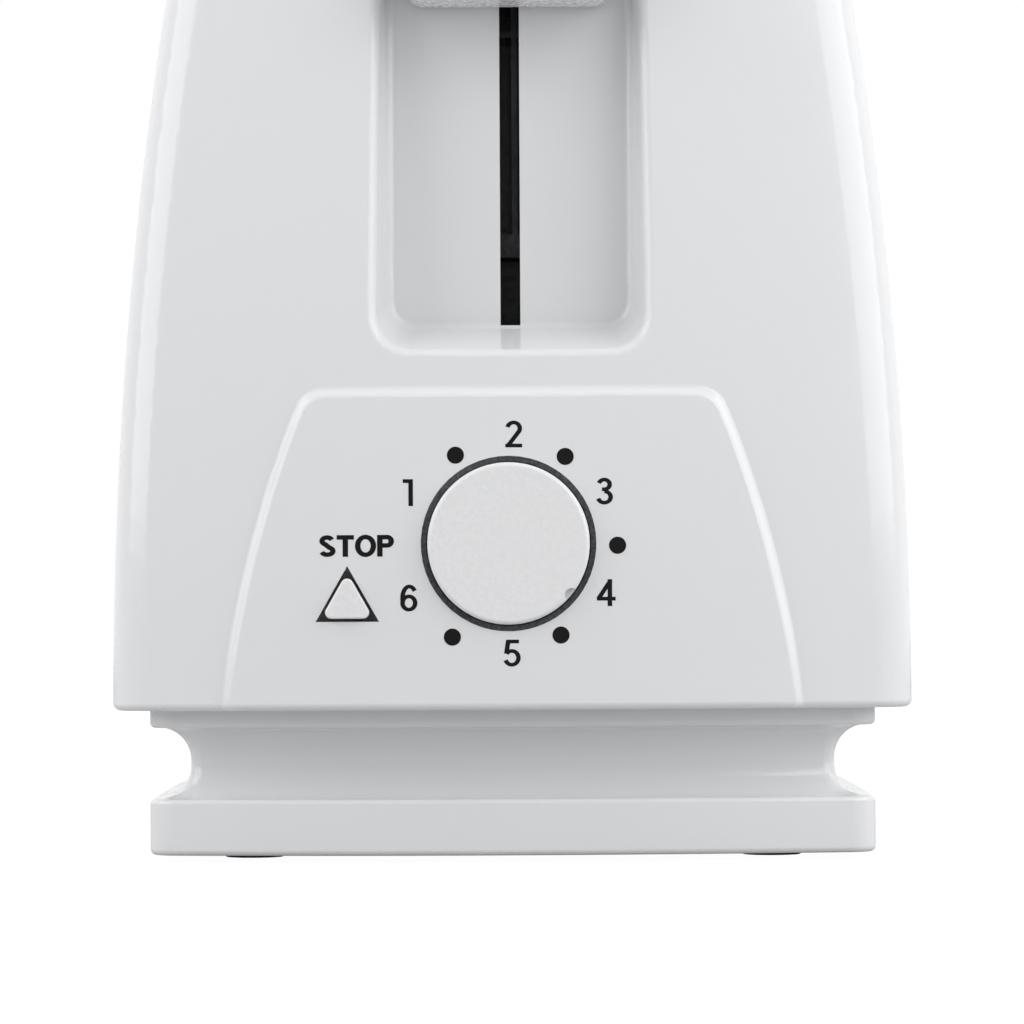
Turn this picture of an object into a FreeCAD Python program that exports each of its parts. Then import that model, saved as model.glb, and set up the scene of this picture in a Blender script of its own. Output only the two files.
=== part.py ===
import FreeCAD, Part
import math
import os

Vector = FreeCAD.Vector

# Every length is in millimetres. X runs across the toaster, Y from the
# lever end (negative) to the cord end, and Z up from the table.

# Driving sizes of the body
WIDTH = 159.2               # across the sides, at the rim
LENGTH = 264.0              # over the two ends, at the rim
CROWN = 202.0               # middle of the top, above the table
RIM = 30.0                  # lower edge of the body
SIDE_LEAN = 930.0           # radius on which the sides curve inwards
END_LEAN = 1430.0           # radius on which the ends curve inwards
SIDE_BOW = 6000.0           # plan radius of the sides
END_BOW = 370.0             # plan radius of the ends
DOME = 1800.0               # radius of the top
CORNER = 10.0               # upright corners of the body
SHOULDER = 9.5              # edge round the top
SKIN = 2.4                  # wall of the mouldings
SLIDE_GAP = 0.3             # between mouldings that fit together
EDGE_ROUND = 1.5            # lower edge of the body, and the panel's slope
PAST = 1.0                  # by which a cut runs past what it cuts
SAME, CLOSE = 0.01, 0.05    # how near two places count as one

# Base, with the groove that the cord winds into
STANDOFF = 1.5              # height of the rubber feet
SETBACK = 7.1               # base walls behind the body's
BASE_CORNER = 6.0           # upright corners of the base
FLANGE_TOP = 12.5           # top of the lower flange
LIP_TALL = 3.5              # upper lip, from its underside to the rim
LIP_LOW = RIM - LIP_TALL
GROOVE_DEPTH = 7.9
LIP_ROUND = 1.0
FLAT = 0.4                  # flat left between two rounded edges
GROOVE_ROUND = min((LIP_LOW - FLANGE_TOP) / 2, GROOVE_DEPTH - LIP_ROUND) - FLAT
FLANGE_ROUND = 1.2
DECK = RIM + SKIN           # top of the base moulding
COVER = 2.5                 # thickness of the bottom cover
COVER_TOP = STANDOFF + COVER
TUB = SETBACK + GROOVE_DEPTH + SKIN     # inset of the tub's inner wall
COLUMN = 4.0                # radius of the screw columns
COLUMN_TOP = RIM + 40.0
COLUMN_BORE_TOP = COVER_TOP + 18.0
COLUMN_X = WIDTH / 2 - TUB - COLUMN - 6.2
COLUMN_Y = LENGTH / 2 - TUB - COLUMN - 5.6

# Lever recess in the front end
MOUTH_HALF, FLOOR_HALF = 26.7, 23.9
MOUTH_LOW, FLOOR_LOW = 99.6, 105.0
RECESS_HIGH = CROWN - 15.0
RECESS_DEPTH = 17.0         # floor behind the front end of the rim
RECESS_DRAFT_RUN = 15.3     # over which the mouth narrows to the floor
MOUTH_CORNER, FLOOR_CORNER = 6.8, 5.5
MOUTH_ROUND, FLOOR_ROUND = 2.0, 1.6
SLIT = 3.9                  # slot that the lever arm slides in

# Control panel
PANEL_RISE = 1.2
PANEL_MARGIN = 22.4         # from the body's side to the panel's foot
PANEL_FOOT = WIDTH / 2 - PANEL_MARGIN   # half-widths at three heights
PANEL_WAIST = PANEL_FOOT - 5.5
PANEL_HEAD = PANEL_FOOT - 16.8
PANEL_MIDDLE = 59.0
PANEL_TOP = 92.7
PANEL_CORNER = 6.0
DIAL_X, DIAL_HEIGHT = -0.6, 62.2
DIAL_RADIUS, DIAL_GAP = 15.7, 1.3
DIAL_HOLE = DIAL_RADIUS + DIAL_GAP
DIAL_COLLAR = 9.0           # collar behind the hole, from the end of the rim
DIAL_PROUD = 1.8
DIAL_WALL, DIAL_ROUND = 2.0, 0.9
DIAL_SKIRT, HUB_BACK = 6.0, 11.0        # how far the skirt and the hub reach in
HUB, SPINDLE = 5.2, 3.0     # radii
NOTCH, NOTCH_DEEP, NOTCH_ANGLE = 1.3, 2.8, -39.5
SEAL, SEAL_TALL = 1.0, 2.0  # felt ring in the gap round the dial
BUTTON_SHARE = 0.47         # of the room from the dial's hole to the screw column
DIAL_SIDE = DIAL_HOLE - DIAL_X
BUTTON_X = -DIAL_SIDE - BUTTON_SHARE * (COLUMN_X - COLUMN - DIAL_SIDE)
BUTTON_LOW = 47.2
BUTTON_WIDTH, BUTTON_TALL = 12.3, 10.8
BUTTON_MIDDLE = BUTTON_LOW + BUTTON_TALL / 3
BUTTON_GAP = 0.6
BUTTON_COLLAR = 8.0
BUTTON_PROUD, BUTTON_ROUND = 1.2, 1.2
BUTTON_FLANGE = 1.4         # thickness of the flange that keeps the button in
BUTTON_TRAVEL = 2.5
STEM, PLUNGER, PLUNGER_OUT = 2.5, 1.8, 6.5

# Bread slots and the chassis between its two end plates
SHEET = 0.8                 # steel sheet of the chassis
FRONT_BAY, REAR_BAY = 68.0, 48.0        # room between the plates and the ends
FRONT_PLATE = FRONT_BAY - LENGTH / 2    # inner face of the front plate
REAR_PLATE = LENGTH / 2 - REAR_BAY      # inner face of the rear plate
SIDE_ROOM = 23.6            # from the body's side to the chassis
CHASSIS_HALF = WIDTH / 2 - SIDE_ROOM
CHASSIS_TOP = CROWN - 11.0
CHAMBER = REAR_PLATE - FRONT_PLATE
SLOT_BAR = 16.0             # bar between the two slots
SLOT_WIDTH = (CHASSIS_HALF - SLOT_BAR / 2) / 1.5
SLOT_LENGTH = CHAMBER - 10.0
SLOT_Y = (FRONT_PLATE + REAR_PLATE) / 2
SLOT_CORNER = SLOT_WIDTH / 4
SLOT_ROUND = 1.5            # top edge of the slots
PITCH = (SLOT_WIDTH + SLOT_BAR) / 2
CARD_X = PITCH + SLOT_WIDTH / 2 + 6.0   # outer heater cards
CARD = 1.0
CARD_LOW = 50.0
CARD_HIGH = CHASSIS_TOP - 10.0
RIBBON, RIBBON_WIDE = 0.3, 1.6
REFLECTOR_GAP, REFLECTOR_LIP = 6.0, 4.0
END_SPACE = 8.0             # from an end plate to the first wire, tooth or ribbon
EAR_REACH, EAR_HOLE, EAR_EDGE = 11.0, 6.0, 3.5
EAR_X = WIDTH / 2 - TUB + 4.5
EAR_BORE_LOW = LIP_LOW + 1.5

# Lever, carriage, racks and guides
KNOB_HALF = FLOOR_HALF - 3.2
KNOB_HIGH = RECESS_HIGH - 4.5
KNOB_LOW = KNOB_HIGH - 14.5
KNOB_PROUD = 4.0
KNOB_GAP = 2.0              # behind the knob, to the recess floor
KNOB_CORNER, KNOB_ROUND = 4.0, 1.6
ARM_LOW, ARM_HIGH = KNOB_LOW + 3.0, KNOB_LOW + 10.0
ARM, ARM_GRIP = 1.5, 10.0   # thickness, and how far the knob goes onto it
TRAVEL = KNOB_LOW - FLOOR_LOW - 5.0
RACK_DOWN = 50.0            # where the bread rests, lever down
RACK_TOP = RACK_DOWN + TRAVEL
RACK_HALF = 5.0
TOOTH, TOOTH_WIDE = 1.0, 3.0
BLADE, BLADE_GAP = 1.2, 1.0
BLADE_TALL = 8.0
BLADE_TAIL = 4.0            # rack blade behind the rear plate
GUIDE_X = SLOT_WIDTH / 2 - 3.0          # guide wires each side of a slot's middle
AXLE_Z = 46.0
AXLE = 1.0
RUNNING = 0.05              # radial clearance of turning and sliding fits
BRACKET = 1.2               # sheet of the carriage bracket
BRACKET_Y = FRONT_PLATE - SHEET - 8.0
ROD_X, ROD_Y, ROD = 16.0, BRACKET_Y - 7.0, 3.0
LUG_LOW, LUG_HIGH = RACK_TOP + 16.0, ARM_LOW - 6.0
LUG_REACH, LUG_HALF = 17.0, 22.0
LUG_FRONT = BRACKET_Y - LUG_REACH
BRACKET_HALF, RIB_X = 34.0, 0.4
WINDOW_X, WINDOW_HALF, WINDOW_EDGE = 15.0, 9.0, 8.0
SHELF = 36.0                # shelf that carries the magnet
SHELF_TOP = SHELF + SHEET
SHELF_HALF, SHELF_OVER = 40.0, 6.0
TAB_TOP = CHASSIS_TOP - 3.0
SPRING_WIRE, SPRING_MEAN, SPRING_PITCH = 0.4, 3.0, 1.5
SPRING_HOLE = 4.6
FINGER_X, FINGER_HALF, FINGER_LOW = -30.0, 2.0, LUG_LOW - 6.0
MAGNET_HALF, KEEPER_REACH = 11.0, 6.0
MAGNET_Y = LUG_FRONT + KEEPER_REACH
POLE_HALF, SIDE_POLE_HALF, YOKE = 2.5, 1.5, 3.0
KEEPER = 3.5
KEEPER_DOWN = LUG_LOW - KEEPER - TRAVEL     # underside of the keeper, lever down

# Control board
BOARD_GAP = 28.0            # board face behind the front end of the rim
BOARD = 1.6
BOARD_HALF = COLUMN_X - COLUMN - 3.0
BOARD_LOW, BOARD_HIGH = 37.0, 95.0
BOARD_SCREW, BOARD_HEAD = 1.1, 2.6
POST, POST_BORE = 3.0, 12.0
POST_X = BOARD_HALF - POST - 1.0
POST_LOW, POST_HIGH = 40.5, 91.0

# Feet, crumb tray, screws and cord bushing
FOOT, FOOT_PLUG, FOOT_ROUND = 6.0, 2.5, 0.5
FOOT_STEP = 14.0            # from a screw column to its foot
VENTS, VENT_FIRST, VENT_MARGIN = 6, 8.0, 3.0
TRAY_HALF = COLUMN_X - COLUMN - 2.0
TRAY_WALL, TRAY_GAP = 0.8, 1.0
TRAY_LOW = COVER_TOP + SLIDE_GAP + 0.1
TRAY_TOP = 9.4
TRAY_FRONT = 4.0            # tray beyond the front plate
TRAY_BACK = LENGTH / 2 - SETBACK - 6.0
TRAY_GRIP, GRIP_HALF = 7.0, 22.0
SCREW = 1.5                 # radius of the case screws
PILOT = SCREW - 0.1
HEAD, HEAD_TALL, SUNK = 3.0, 1.4, 0.1
HEAD_SINK = HEAD + 0.6
CROSS_LONG, CROSS_WIDE, CROSS_DEEP = 1.8, 0.4, 0.6
GLAND, CORD_BORE = 4.6, 3.3
CORD_X = -30.0
CORD_Z = (FLANGE_TOP + LIP_LOW) / 2

# Derived places
FRONT = -LENGTH / 2
FLOOR_Y = FRONT + RECESS_DEPTH
BOARD_Y = FRONT + BOARD_GAP
DIAL_FACE = FRONT - PANEL_RISE - DIAL_PROUD
SPINDLE_TIP, SPINDLE_END = DIAL_FACE + 3.0, BOARD_Y - 6.0
SEAL_BACK = FRONT + 3.5
TAIL = LENGTH / 2 - SETBACK + TRAY_GRIP
FOREMOST = min(DIAL_FACE, FRONT - KNOB_PROUD)
HINDMOST = max(TAIL, LENGTH / 2)
SHIFT = -(FOREMOST + HINDMOST) / 2      # centres the finished object on Y
SIDES = (-1, 1)


def box(x, y, z):
    """Box between a low and a high value on each axis."""
    spans = [high - low for low, high in (x, y, z)]
    return Part.makeBox(*spans, Vector(x[0], y[0], z[0]))


def upright(radius, x, y, low, high):
    """Cylinder standing along Z."""
    return Part.makeCylinder(radius, high - low, Vector(x, y, low), Vector(0, 0, 1))


def level(radius, x, z, low, high):
    """Cylinder lying along Y."""
    return Part.makeCylinder(radius, high - low, Vector(x, low, z), Vector(0, 1, 0))


def joined(shapes):
    """One solid from shapes that touch or overlap."""
    whole = shapes[0].fuse(shapes[1:])
    return whole.removeSplitter()


def softened(shape, radius, chosen):
    """Round the edges that the test picks out."""
    edges = [edge for edge in shape.Edges if chosen(edge)]
    return shape.makeFillet(radius, edges)


def middle_of(edge):
    """Point half-way along an edge."""
    return edge.valueAt((edge.FirstParameter + edge.LastParameter) / 2)


def barrel(x, y, radius, lean, inset, low, high):
    """Round block whose wall leans inwards above and below the rim."""
    curve = lean - inset

    def wall(z):
        return radius - lean + math.sqrt(curve ** 2 - (z - RIM) ** 2)

    middle = (low + high) / 2
    start = Vector(wall(low), 0, low)
    end = Vector(wall(high), 0, high)
    arc = Part.Arc(start, Vector(wall(middle), 0, middle), end).toShape()
    outline = Part.Wire([
        Part.makeLine(Vector(0, 0, low), start),
        arc,
        Part.makeLine(end, Vector(0, 0, high)),
        Part.makeLine(Vector(0, 0, high), Vector(0, 0, low)),
    ])
    solid = Part.Face(outline).revolve(Vector(0, 0, 0), Vector(0, 0, 1), 360)
    if x < 0:
        solid.rotate(Vector(0, 0, 0), Vector(0, 0, 1), 90)
    solid.translate(Vector(x, y, 0))
    return solid


def housing(inset, low):
    """The body's outer form, moved inwards by the inset, from low upwards."""
    high = CROWN + SHOULDER
    parts = []
    for side in SIDES:
        parts.append(barrel(0, side * (END_BOW - LENGTH / 2), END_BOW, END_LEAN, inset, low, high))
        parts.append(barrel(side * (SIDE_BOW - WIDTH / 2), 0, SIDE_BOW, SIDE_LEAN, inset, low, high))
    body = parts[0]
    for other in parts[1:]:
        body = body.common(other)
    body = body.common(Part.makeSphere(DOME - inset, Vector(0, 0, CROWN - DOME)))
    body = softened(body, CORNER - inset, lambda edge: edge.BoundBox.ZLength > CROWN / 2)
    return softened(body, SHOULDER - inset, lambda edge: edge.BoundBox.ZMin > CROWN * 0.8)


def plan_block(inset, low, high, corner):
    """Straight-walled block with the body's plan outline, moved inwards."""
    tall = high - low
    parts = []
    for side in SIDES:
        end = Vector(0, side * (END_BOW - LENGTH / 2), low)
        flank = Vector(side * (SIDE_BOW - WIDTH / 2), 0, low)
        parts.append(Part.makeCylinder(END_BOW - inset, tall, end))
        parts.append(Part.makeCylinder(SIDE_BOW - inset, tall, flank, Vector(0, 0, 1)))
    body = parts[0]
    for other in parts[1:]:
        body = body.common(other)
    return softened(body, corner, lambda edge: edge.BoundBox.ZLength > tall / 2)


def rounded_outline(half, low, high, corner, y):
    """Closed wire of a rounded rectangle standing in an XZ plane."""
    diagonal = corner * (1 - math.sqrt(0.5))
    pieces = []
    points = [(half, low), (half, high), (-half, high), (-half, low)]
    inward = [(-1, 1), (-1, -1), (1, -1), (1, 1)]
    ends = []
    for (x, z), (in_x, in_z) in zip(points, inward):
        one = Vector(x + in_x * corner, y, z)
        two = Vector(x, y, z + in_z * corner)
        middle = Vector(x + in_x * diagonal, y, z + in_z * diagonal)
        turn = (one, two) if in_x * in_z < 0 else (two, one)
        pieces.append(Part.Arc(turn[0], middle, turn[1]).toShape())
        ends.append(turn)
    for index, turn in enumerate(ends):
        following = ends[(index + 1) % len(ends)]
        pieces.append(Part.makeLine(turn[1], following[0]))
    return Part.Wire(Part.__sortEdges__(pieces))


def recess(grow):
    """The lever recess as a solid, with its walls moved outwards by grow."""
    reach = 2 * RECESS_DRAFT_RUN
    spread = (MOUTH_HALF - FLOOR_HALF) / RECESS_DRAFT_RUN * reach
    drop = (FLOOR_LOW - MOUTH_LOW) / RECESS_DRAFT_RUN * reach
    flare = (MOUTH_CORNER - FLOOR_CORNER) / RECESS_DRAFT_RUN * reach
    floor = rounded_outline(
        FLOOR_HALF + grow, FLOOR_LOW - grow, RECESS_HIGH + grow,
        FLOOR_CORNER + grow, FLOOR_Y + grow)
    mouth = rounded_outline(
        FLOOR_HALF + spread + grow, FLOOR_LOW - drop - grow, RECESS_HIGH + spread + grow,
        FLOOR_CORNER + flare + grow, FLOOR_Y + grow - reach)
    return Part.makeLoft([floor, mouth], True, True)


def panel_prism():
    """Block with the control panel's outline, running along Y."""
    y = FRONT - CORNER
    foot = RIM - SKIN
    corners = [Vector(side * PANEL_HEAD, y, PANEL_TOP) for side in SIDES]
    feet = [Vector(side * PANEL_FOOT, y, foot) for side in SIDES]
    waists = [Vector(side * PANEL_WAIST, y, PANEL_MIDDLE) for side in SIDES]
    edges = [
        Part.Arc(feet[0], waists[0], corners[0]).toShape(),
        Part.makeLine(corners[0], corners[1]),
        Part.Arc(corners[1], waists[1], feet[1]).toShape(),
        Part.makeLine(feet[1], feet[0]),
    ]
    solid = Part.Face(Part.Wire(edges)).extrude(Vector(0, 3 * CORNER, 0))

    def top_corner(edge):
        return edge.BoundBox.YLength > CORNER and edge.BoundBox.ZMin > PANEL_TOP - 1

    return softened(solid, PANEL_CORNER, top_corner)


def panel_pad():
    """The raised control panel, sloping down to the body all round."""
    pad = panel_prism().common(housing(-PANEL_RISE, RIM)).cut(housing(SKIN / 2, RIM - SKIN))
    return pad.makeChamfer(PANEL_RISE + FLAT, [edge for edge in pad.Edges if on_panel_face(edge)])


def on_panel_face(edge):
    """Whether an edge bounds the face of the raised panel, its foot apart."""
    point = middle_of(edge)
    return housing_depth(point) < FLAT - PANEL_RISE and point.z > RIM + FLAT


def housing_depth(point):
    """How far a point lies behind the front end of the body."""
    bow = END_BOW - math.sqrt(END_BOW ** 2 - point.x ** 2)
    lean = END_LEAN - math.sqrt(END_LEAN ** 2 - (point.z - RIM) ** 2)
    return point.y - (FRONT + bow + lean)


def triangle(grow, front, back, corner):
    """Upright triangular block along Y, grown evenly on its three sides."""
    half = BUTTON_WIDTH / 2
    slope = math.hypot(half, BUTTON_TALL)
    side = grow * slope / half
    foot = grow * (slope + half) / BUTTON_TALL
    points = [
        Vector(BUTTON_X - half - foot, front, BUTTON_LOW - grow),
        Vector(BUTTON_X + half + foot, front, BUTTON_LOW - grow),
        Vector(BUTTON_X, front, BUTTON_LOW + BUTTON_TALL + side),
    ]
    face = Part.Face(Part.makePolygon(points + points[:1]))
    solid = face.extrude(Vector(0, back - front, 0))
    if corner:
        solid = softened(solid, corner, lambda edge: edge.BoundBox.YLength > abs(back - front) / 2)
    return solid


def slot_block(side, grow, low, high):
    """Block through one bread slot."""
    half = SLOT_WIDTH / 2 + grow
    x = side * PITCH
    reach = SLOT_LENGTH / 2 + grow
    block = box((x - half, x + half), (SLOT_Y - reach, SLOT_Y + reach), (low, high))
    return softened(block, SLOT_CORNER + grow, lambda edge: edge.BoundBox.ZLength > (high - low) / 2)


def column_places():
    return [(x * COLUMN_X, y * COLUMN_Y) for x in SIDES for y in SIDES]


def post_places():
    return [(x * POST_X, z) for x in SIDES for z in (POST_LOW, POST_HIGH)]


def screw_columns(inside):
    """Four columns down to the bottom cover, each webbed to the side wall."""
    shapes = []
    for x, y in column_places():
        shapes.append(upright(COLUMN, x, y, COVER_TOP, COLUMN_TOP))
        reach = sorted((x, math.copysign(WIDTH / 2, x)))
        web = box(reach, (y - SKIN / 2, y + SKIN / 2), (DECK, COLUMN_TOP - 2 * PAST))
        shapes.append(web.common(inside))
    return shapes


def rounded_form():
    """Body with the panel and the recess, its outside edges softened."""
    solid = joined([housing(0, RIM), panel_pad()])

    def outer_edge(edge):
        point = middle_of(edge)
        beside = abs(point.x) < PANEL_FOOT + FLAT and RIM + FLAT < point.z < PANEL_TOP + FLAT
        round_panel = beside and point.y < 0 and abs(housing_depth(point)) < CLOSE
        return round_panel or on_panel_face(edge) or edge.BoundBox.ZMax < RIM + SAME

    solid = softened(solid, EDGE_ROUND, outer_edge).cut(recess(0))

    def at_mouth(edge):
        point = middle_of(edge)
        inside = abs(point.x) < MOUTH_HALF + MOUTH_ROUND and point.z > MOUTH_LOW - MOUTH_ROUND
        below_top = point.y < 0 and point.z < RECESS_HIGH + 3 * MOUTH_ROUND
        return inside and below_top and abs(housing_depth(point)) < FLAT

    solid = softened(solid, MOUTH_ROUND, at_mouth)

    def at_floor(edge):
        return abs(edge.BoundBox.YMax - FLOOR_Y) < SAME and edge.BoundBox.YLength < SAME

    return softened(solid, FLOOR_ROUND, at_floor)


def outer_shell():
    """Moulded body with its recess, panel, slots, collars, posts and columns."""
    form = housing(0, RIM)
    inside = housing(SKIN, RIM - SKIN)
    body = rounded_form().cut(inside.cut(recess(SKIN)))
    collars = [slot_block(side, SKIN, CHASSIS_TOP + 2 * PAST, CROWN + PAST).common(form) for side in SIDES]
    collars.append(level(DIAL_HOLE + SKIN, DIAL_X, DIAL_HEIGHT, FRONT, FRONT + DIAL_COLLAR).common(form))
    collars.append(triangle(SKIN, FRONT, FRONT + BUTTON_COLLAR, 0).common(form))
    posts = [level(POST, x, z, FRONT, BOARD_Y).common(form) for x, z in post_places()]
    body = joined([body] + collars + posts + screw_columns(inside))
    before, behind = FRONT - CORNER, FRONT + CORNER
    cuts = [box((-SLIT / 2, SLIT / 2), (FLOOR_Y - PAST, FLOOR_Y + 2 * SKIN),
                (FLOOR_LOW + FLAT, RECESS_HIGH - FLOOR_ROUND - FLAT))]
    cuts.append(level(DIAL_HOLE, DIAL_X, DIAL_HEIGHT, before, behind))
    cuts.append(triangle(0, before, behind, 0))
    cuts += [slot_block(side, 0, CHASSIS_TOP + PAST, CROWN + SHOULDER) for side in SIDES]
    cuts += [level(BOARD_SCREW, x, z, BOARD_Y - POST_BORE, BOARD_Y + PAST) for x, z in post_places()]
    cuts += [upright(SCREW, x, y, COVER_TOP - PAST, COLUMN_BORE_TOP) for x, y in column_places()]
    body = body.cut(cuts)

    def slot_edge(edge):
        point = middle_of(edge)
        dome = CROWN - DOME + math.sqrt(DOME ** 2 - point.x ** 2 - point.y ** 2)
        across = abs(abs(point.x) - PITCH) < SLOT_WIDTH / 2 + CLOSE
        along = abs(point.y - SLOT_Y) < SLOT_LENGTH / 2 + CLOSE
        return abs(point.z - dome) < CLOSE and across and along

    return softened(body, SLOT_ROUND, slot_edge)


def base_housing():
    """Base moulding: flange, cord groove, lip and the deck inside the rim."""
    flange = plan_block(SETBACK, STANDOFF, FLANGE_TOP, BASE_CORNER)
    neck = plan_block(SETBACK + GROOVE_DEPTH, FLANGE_TOP, LIP_LOW, BASE_CORNER / 2)
    lip = plan_block(SETBACK, LIP_LOW, RIM, BASE_CORNER)
    body = joined([flange, neck, lip])
    divide = WIDTH / 2 - SETBACK - GROOVE_DEPTH / 2

    def level_with_groove(edge):
        z = edge.CenterOfMass.z
        return edge.BoundBox.ZLength < CLOSE and min(abs(z - FLANGE_TOP), abs(z - LIP_LOW)) < SAME

    body = softened(body, GROOVE_ROUND, lambda edge: level_with_groove(edge) and plan_reach(edge) < divide)
    body = softened(body, LIP_ROUND, lambda edge: level_with_groove(edge) and plan_reach(edge) > divide)
    body = softened(body, FLANGE_ROUND, lambda edge: edge.BoundBox.ZMax < STANDOFF + SAME)
    body = joined([body, plan_block(SKIN + SLIDE_GAP, RIM, DECK, CORNER - SKIN)])
    tub = plan_block(TUB, FLANGE_TOP - SKIN - PAST, DECK + PAST, BASE_CORNER / 2)
    foot = plan_block(SETBACK + SKIN, STANDOFF - PAST, FLANGE_TOP - SKIN, BASE_CORNER - SKIN)
    mouth = box((-TRAY_HALF - TRAY_GAP, TRAY_HALF + TRAY_GAP), (LENGTH / 2 - 3 * SETBACK, LENGTH / 2),
                (COVER_TOP, FLANGE_TOP - SKIN))
    cord = level(GLAND, CORD_X, CORD_Z, LENGTH / 2 - 2 * TUB, LENGTH / 2)
    pilots = [upright(PILOT, x, y, EAR_BORE_LOW, DECK + PAST) for x, y in ear_places()]
    return body.cut([tub, foot, mouth, cord] + pilots)


def plan_reach(edge):
    """Distance of an edge from the base's middle line, measured as on a side."""
    point = middle_of(edge)
    side = abs(point.x)
    end = abs(point.y) - (LENGTH - WIDTH) / 2
    return max(side, end)


def bottom_cover():
    """Flat cover with air slots, screw recesses and ribs under the base."""
    inset = SETBACK + SKIN + SLIDE_GAP
    plate = plan_block(inset, STANDOFF, COVER_TOP, BASE_CORNER - SKIN)
    rib_x = WIDTH / 2 - inset - 2 * SKIN
    shapes = [plate]
    for side in SIDES:
        x = sorted((side * rib_x, side * (rib_x - SKIN)))
        shapes.append(box(x, (-LENGTH / 4, LENGTH / 4), (COVER_TOP, FLANGE_TOP - SKIN)))
    cuts = []
    pitch = (TRAY_HALF - VENT_FIRST - VENT_MARGIN) / (VENTS - 1)
    for side in SIDES:
        for index in range(VENTS):
            x = side * (VENT_FIRST + pitch * index)
            cuts.append(box((x - SKIN / 2, x + SKIN / 2), (-LENGTH / 5, LENGTH / 5), (0, 2 * COVER_TOP)))
    for x, y in column_places():
        cuts.append(upright(SCREW, x, y, 0, 2 * COVER_TOP))
        cuts.append(upright(HEAD_SINK, x, y, 0, STANDOFF + SUNK + HEAD_TALL))
    cuts += [upright(FOOT_PLUG, x, y, 0, 2 * COVER_TOP) for x, y in foot_places()]
    return joined(shapes).cut(cuts)


def foot_places():
    return [(x * COLUMN_X, y * (COLUMN_Y - FOOT_STEP)) for x in SIDES for y in SIDES]


def rubber_feet():
    """Four feet, each pressed into its hole in the cover."""
    feet = []
    for x, y in foot_places():
        pad = softened(upright(FOOT, x, y, 0, STANDOFF), FOOT_ROUND, lambda edge: edge.BoundBox.ZMax < SAME)
        feet.append(joined([pad, upright(FOOT_PLUG, x, y, STANDOFF, COVER_TOP)]))
    return Part.makeCompound(feet)


def machine_screw(x, y, low, tip, shank):
    """Pan-head screw along Z with a cross recess; its tip is above or below the head."""
    high = low + HEAD_TALL
    hanging = tip < low
    stem = upright(shank, x, y, tip, low) if hanging else upright(shank, x, y, high, tip)
    outer = high if hanging else low
    deep = (outer - CROSS_DEEP, outer + CROSS_DEEP)
    cross = [
        box((x - CROSS_LONG, x + CROSS_LONG), (y - CROSS_WIDE, y + CROSS_WIDE), deep),
        box((x - CROSS_WIDE, x + CROSS_WIDE), (y - CROSS_LONG, y + CROSS_LONG), deep),
    ]
    return joined([upright(HEAD, x, y, low, high), stem]).cut(cross)


def base_screws():
    return Part.makeCompound(
        [machine_screw(x, y, STANDOFF + SUNK, COLUMN_BORE_TOP - 2 * PAST, SCREW) for x, y in column_places()])


def ear_places():
    return [(side * EAR_X, y) for side in SIDES for y in (FRONT_PLATE - EAR_HOLE, REAR_PLATE + EAR_HOLE)]


def chassis_screws():
    return Part.makeCompound(
        [machine_screw(x, y, DECK + SHEET, EAR_BORE_LOW + PAST / 2, PILOT) for x, y in ear_places()])


def chassis_plate(inner, outward):
    """Steel end plate with ears on the deck, and the cuts for blades and axles."""
    across = sorted((inner, inner + outward * SHEET))
    shapes = [box((-CHASSIS_HALF, CHASSIS_HALF), across, (DECK, CHASSIS_TOP))]
    for side in SIDES:
        ear_x = sorted((side * (CHASSIS_HALF - EAR_HOLE), side * (EAR_X + EAR_EDGE)))
        ear_y = sorted((inner, inner + outward * EAR_REACH))
        shapes.append(box(ear_x, ear_y, (DECK, DECK + SHEET)))
    plate = joined(shapes)
    through = (across[0] - PAST, across[1] + PAST)
    low = RACK_TOP - BLADE_TALL - TRAVEL - 2 * PAST
    half = BLADE / 2 + BLADE_GAP
    cuts = []
    for side in SIDES:
        x = side * PITCH
        cuts.append(box((x - half, x + half), through, (low, RACK_TOP + PAST)))
        for guide in SIDES:
            cuts.append(level(AXLE + RUNNING, x + guide * GUIDE_X, AXLE_Z, *through))
    for x, y in ear_places():
        cuts.append(upright(PILOT, x, y, DECK - PAST, DECK + 2 * SHEET))
    return plate, cuts


def chassis_front_plate():
    """Front plate, with the magnet shelf and the tab that holds the rod."""
    plate, cuts = chassis_plate(FRONT_PLATE, -1)
    face = FRONT_PLATE - SHEET
    shelf = box((-SHELF_HALF, SHELF_HALF), (LUG_FRONT - SHELF_OVER, face), (SHELF, SHELF_TOP))
    tab = box((-LUG_HALF, LUG_HALF), (LUG_FRONT, face), (TAB_TOP, TAB_TOP + SHEET))
    cuts.append(upright(ROD, ROD_X, ROD_Y, SHELF - PAST, CHASSIS_TOP))
    return joined([plate, shelf, tab]).cut(cuts)


def chassis_rear_plate():
    plate, cuts = chassis_plate(REAR_PLATE, 1)
    return plate.cut(cuts)


def chassis_top_plate():
    """Steel frame round the slots, on top of the two end plates."""
    x = (-CHASSIS_HALF, CHASSIS_HALF)
    y = (FRONT_PLATE - SHEET, REAR_PLATE + SHEET)
    plate = box(x, y, (CHASSIS_TOP, CHASSIS_TOP + SHEET))
    slots = [slot_block(side, PAST / 2, CHASSIS_TOP - PAST, CHASSIS_TOP + 2 * PAST) for side in SIDES]
    return plate.cut(slots)


def side_reflector(side):
    """Bright sheet behind an outer heater card, flanged at both edges."""
    x = side * (CARD_X + REFLECTOR_GAP)
    low = SHELF + REFLECTOR_GAP
    y = (FRONT_PLATE, REAR_PLATE)
    shapes = [box(sorted((x, x + side * SHEET)), y, (low, CHASSIS_TOP))]
    for z in (low, CHASSIS_TOP - SHEET):
        shapes.append(box(sorted((x, x - side * REFLECTOR_LIP)), y, (z, z + SHEET)))
    return joined(shapes)


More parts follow.
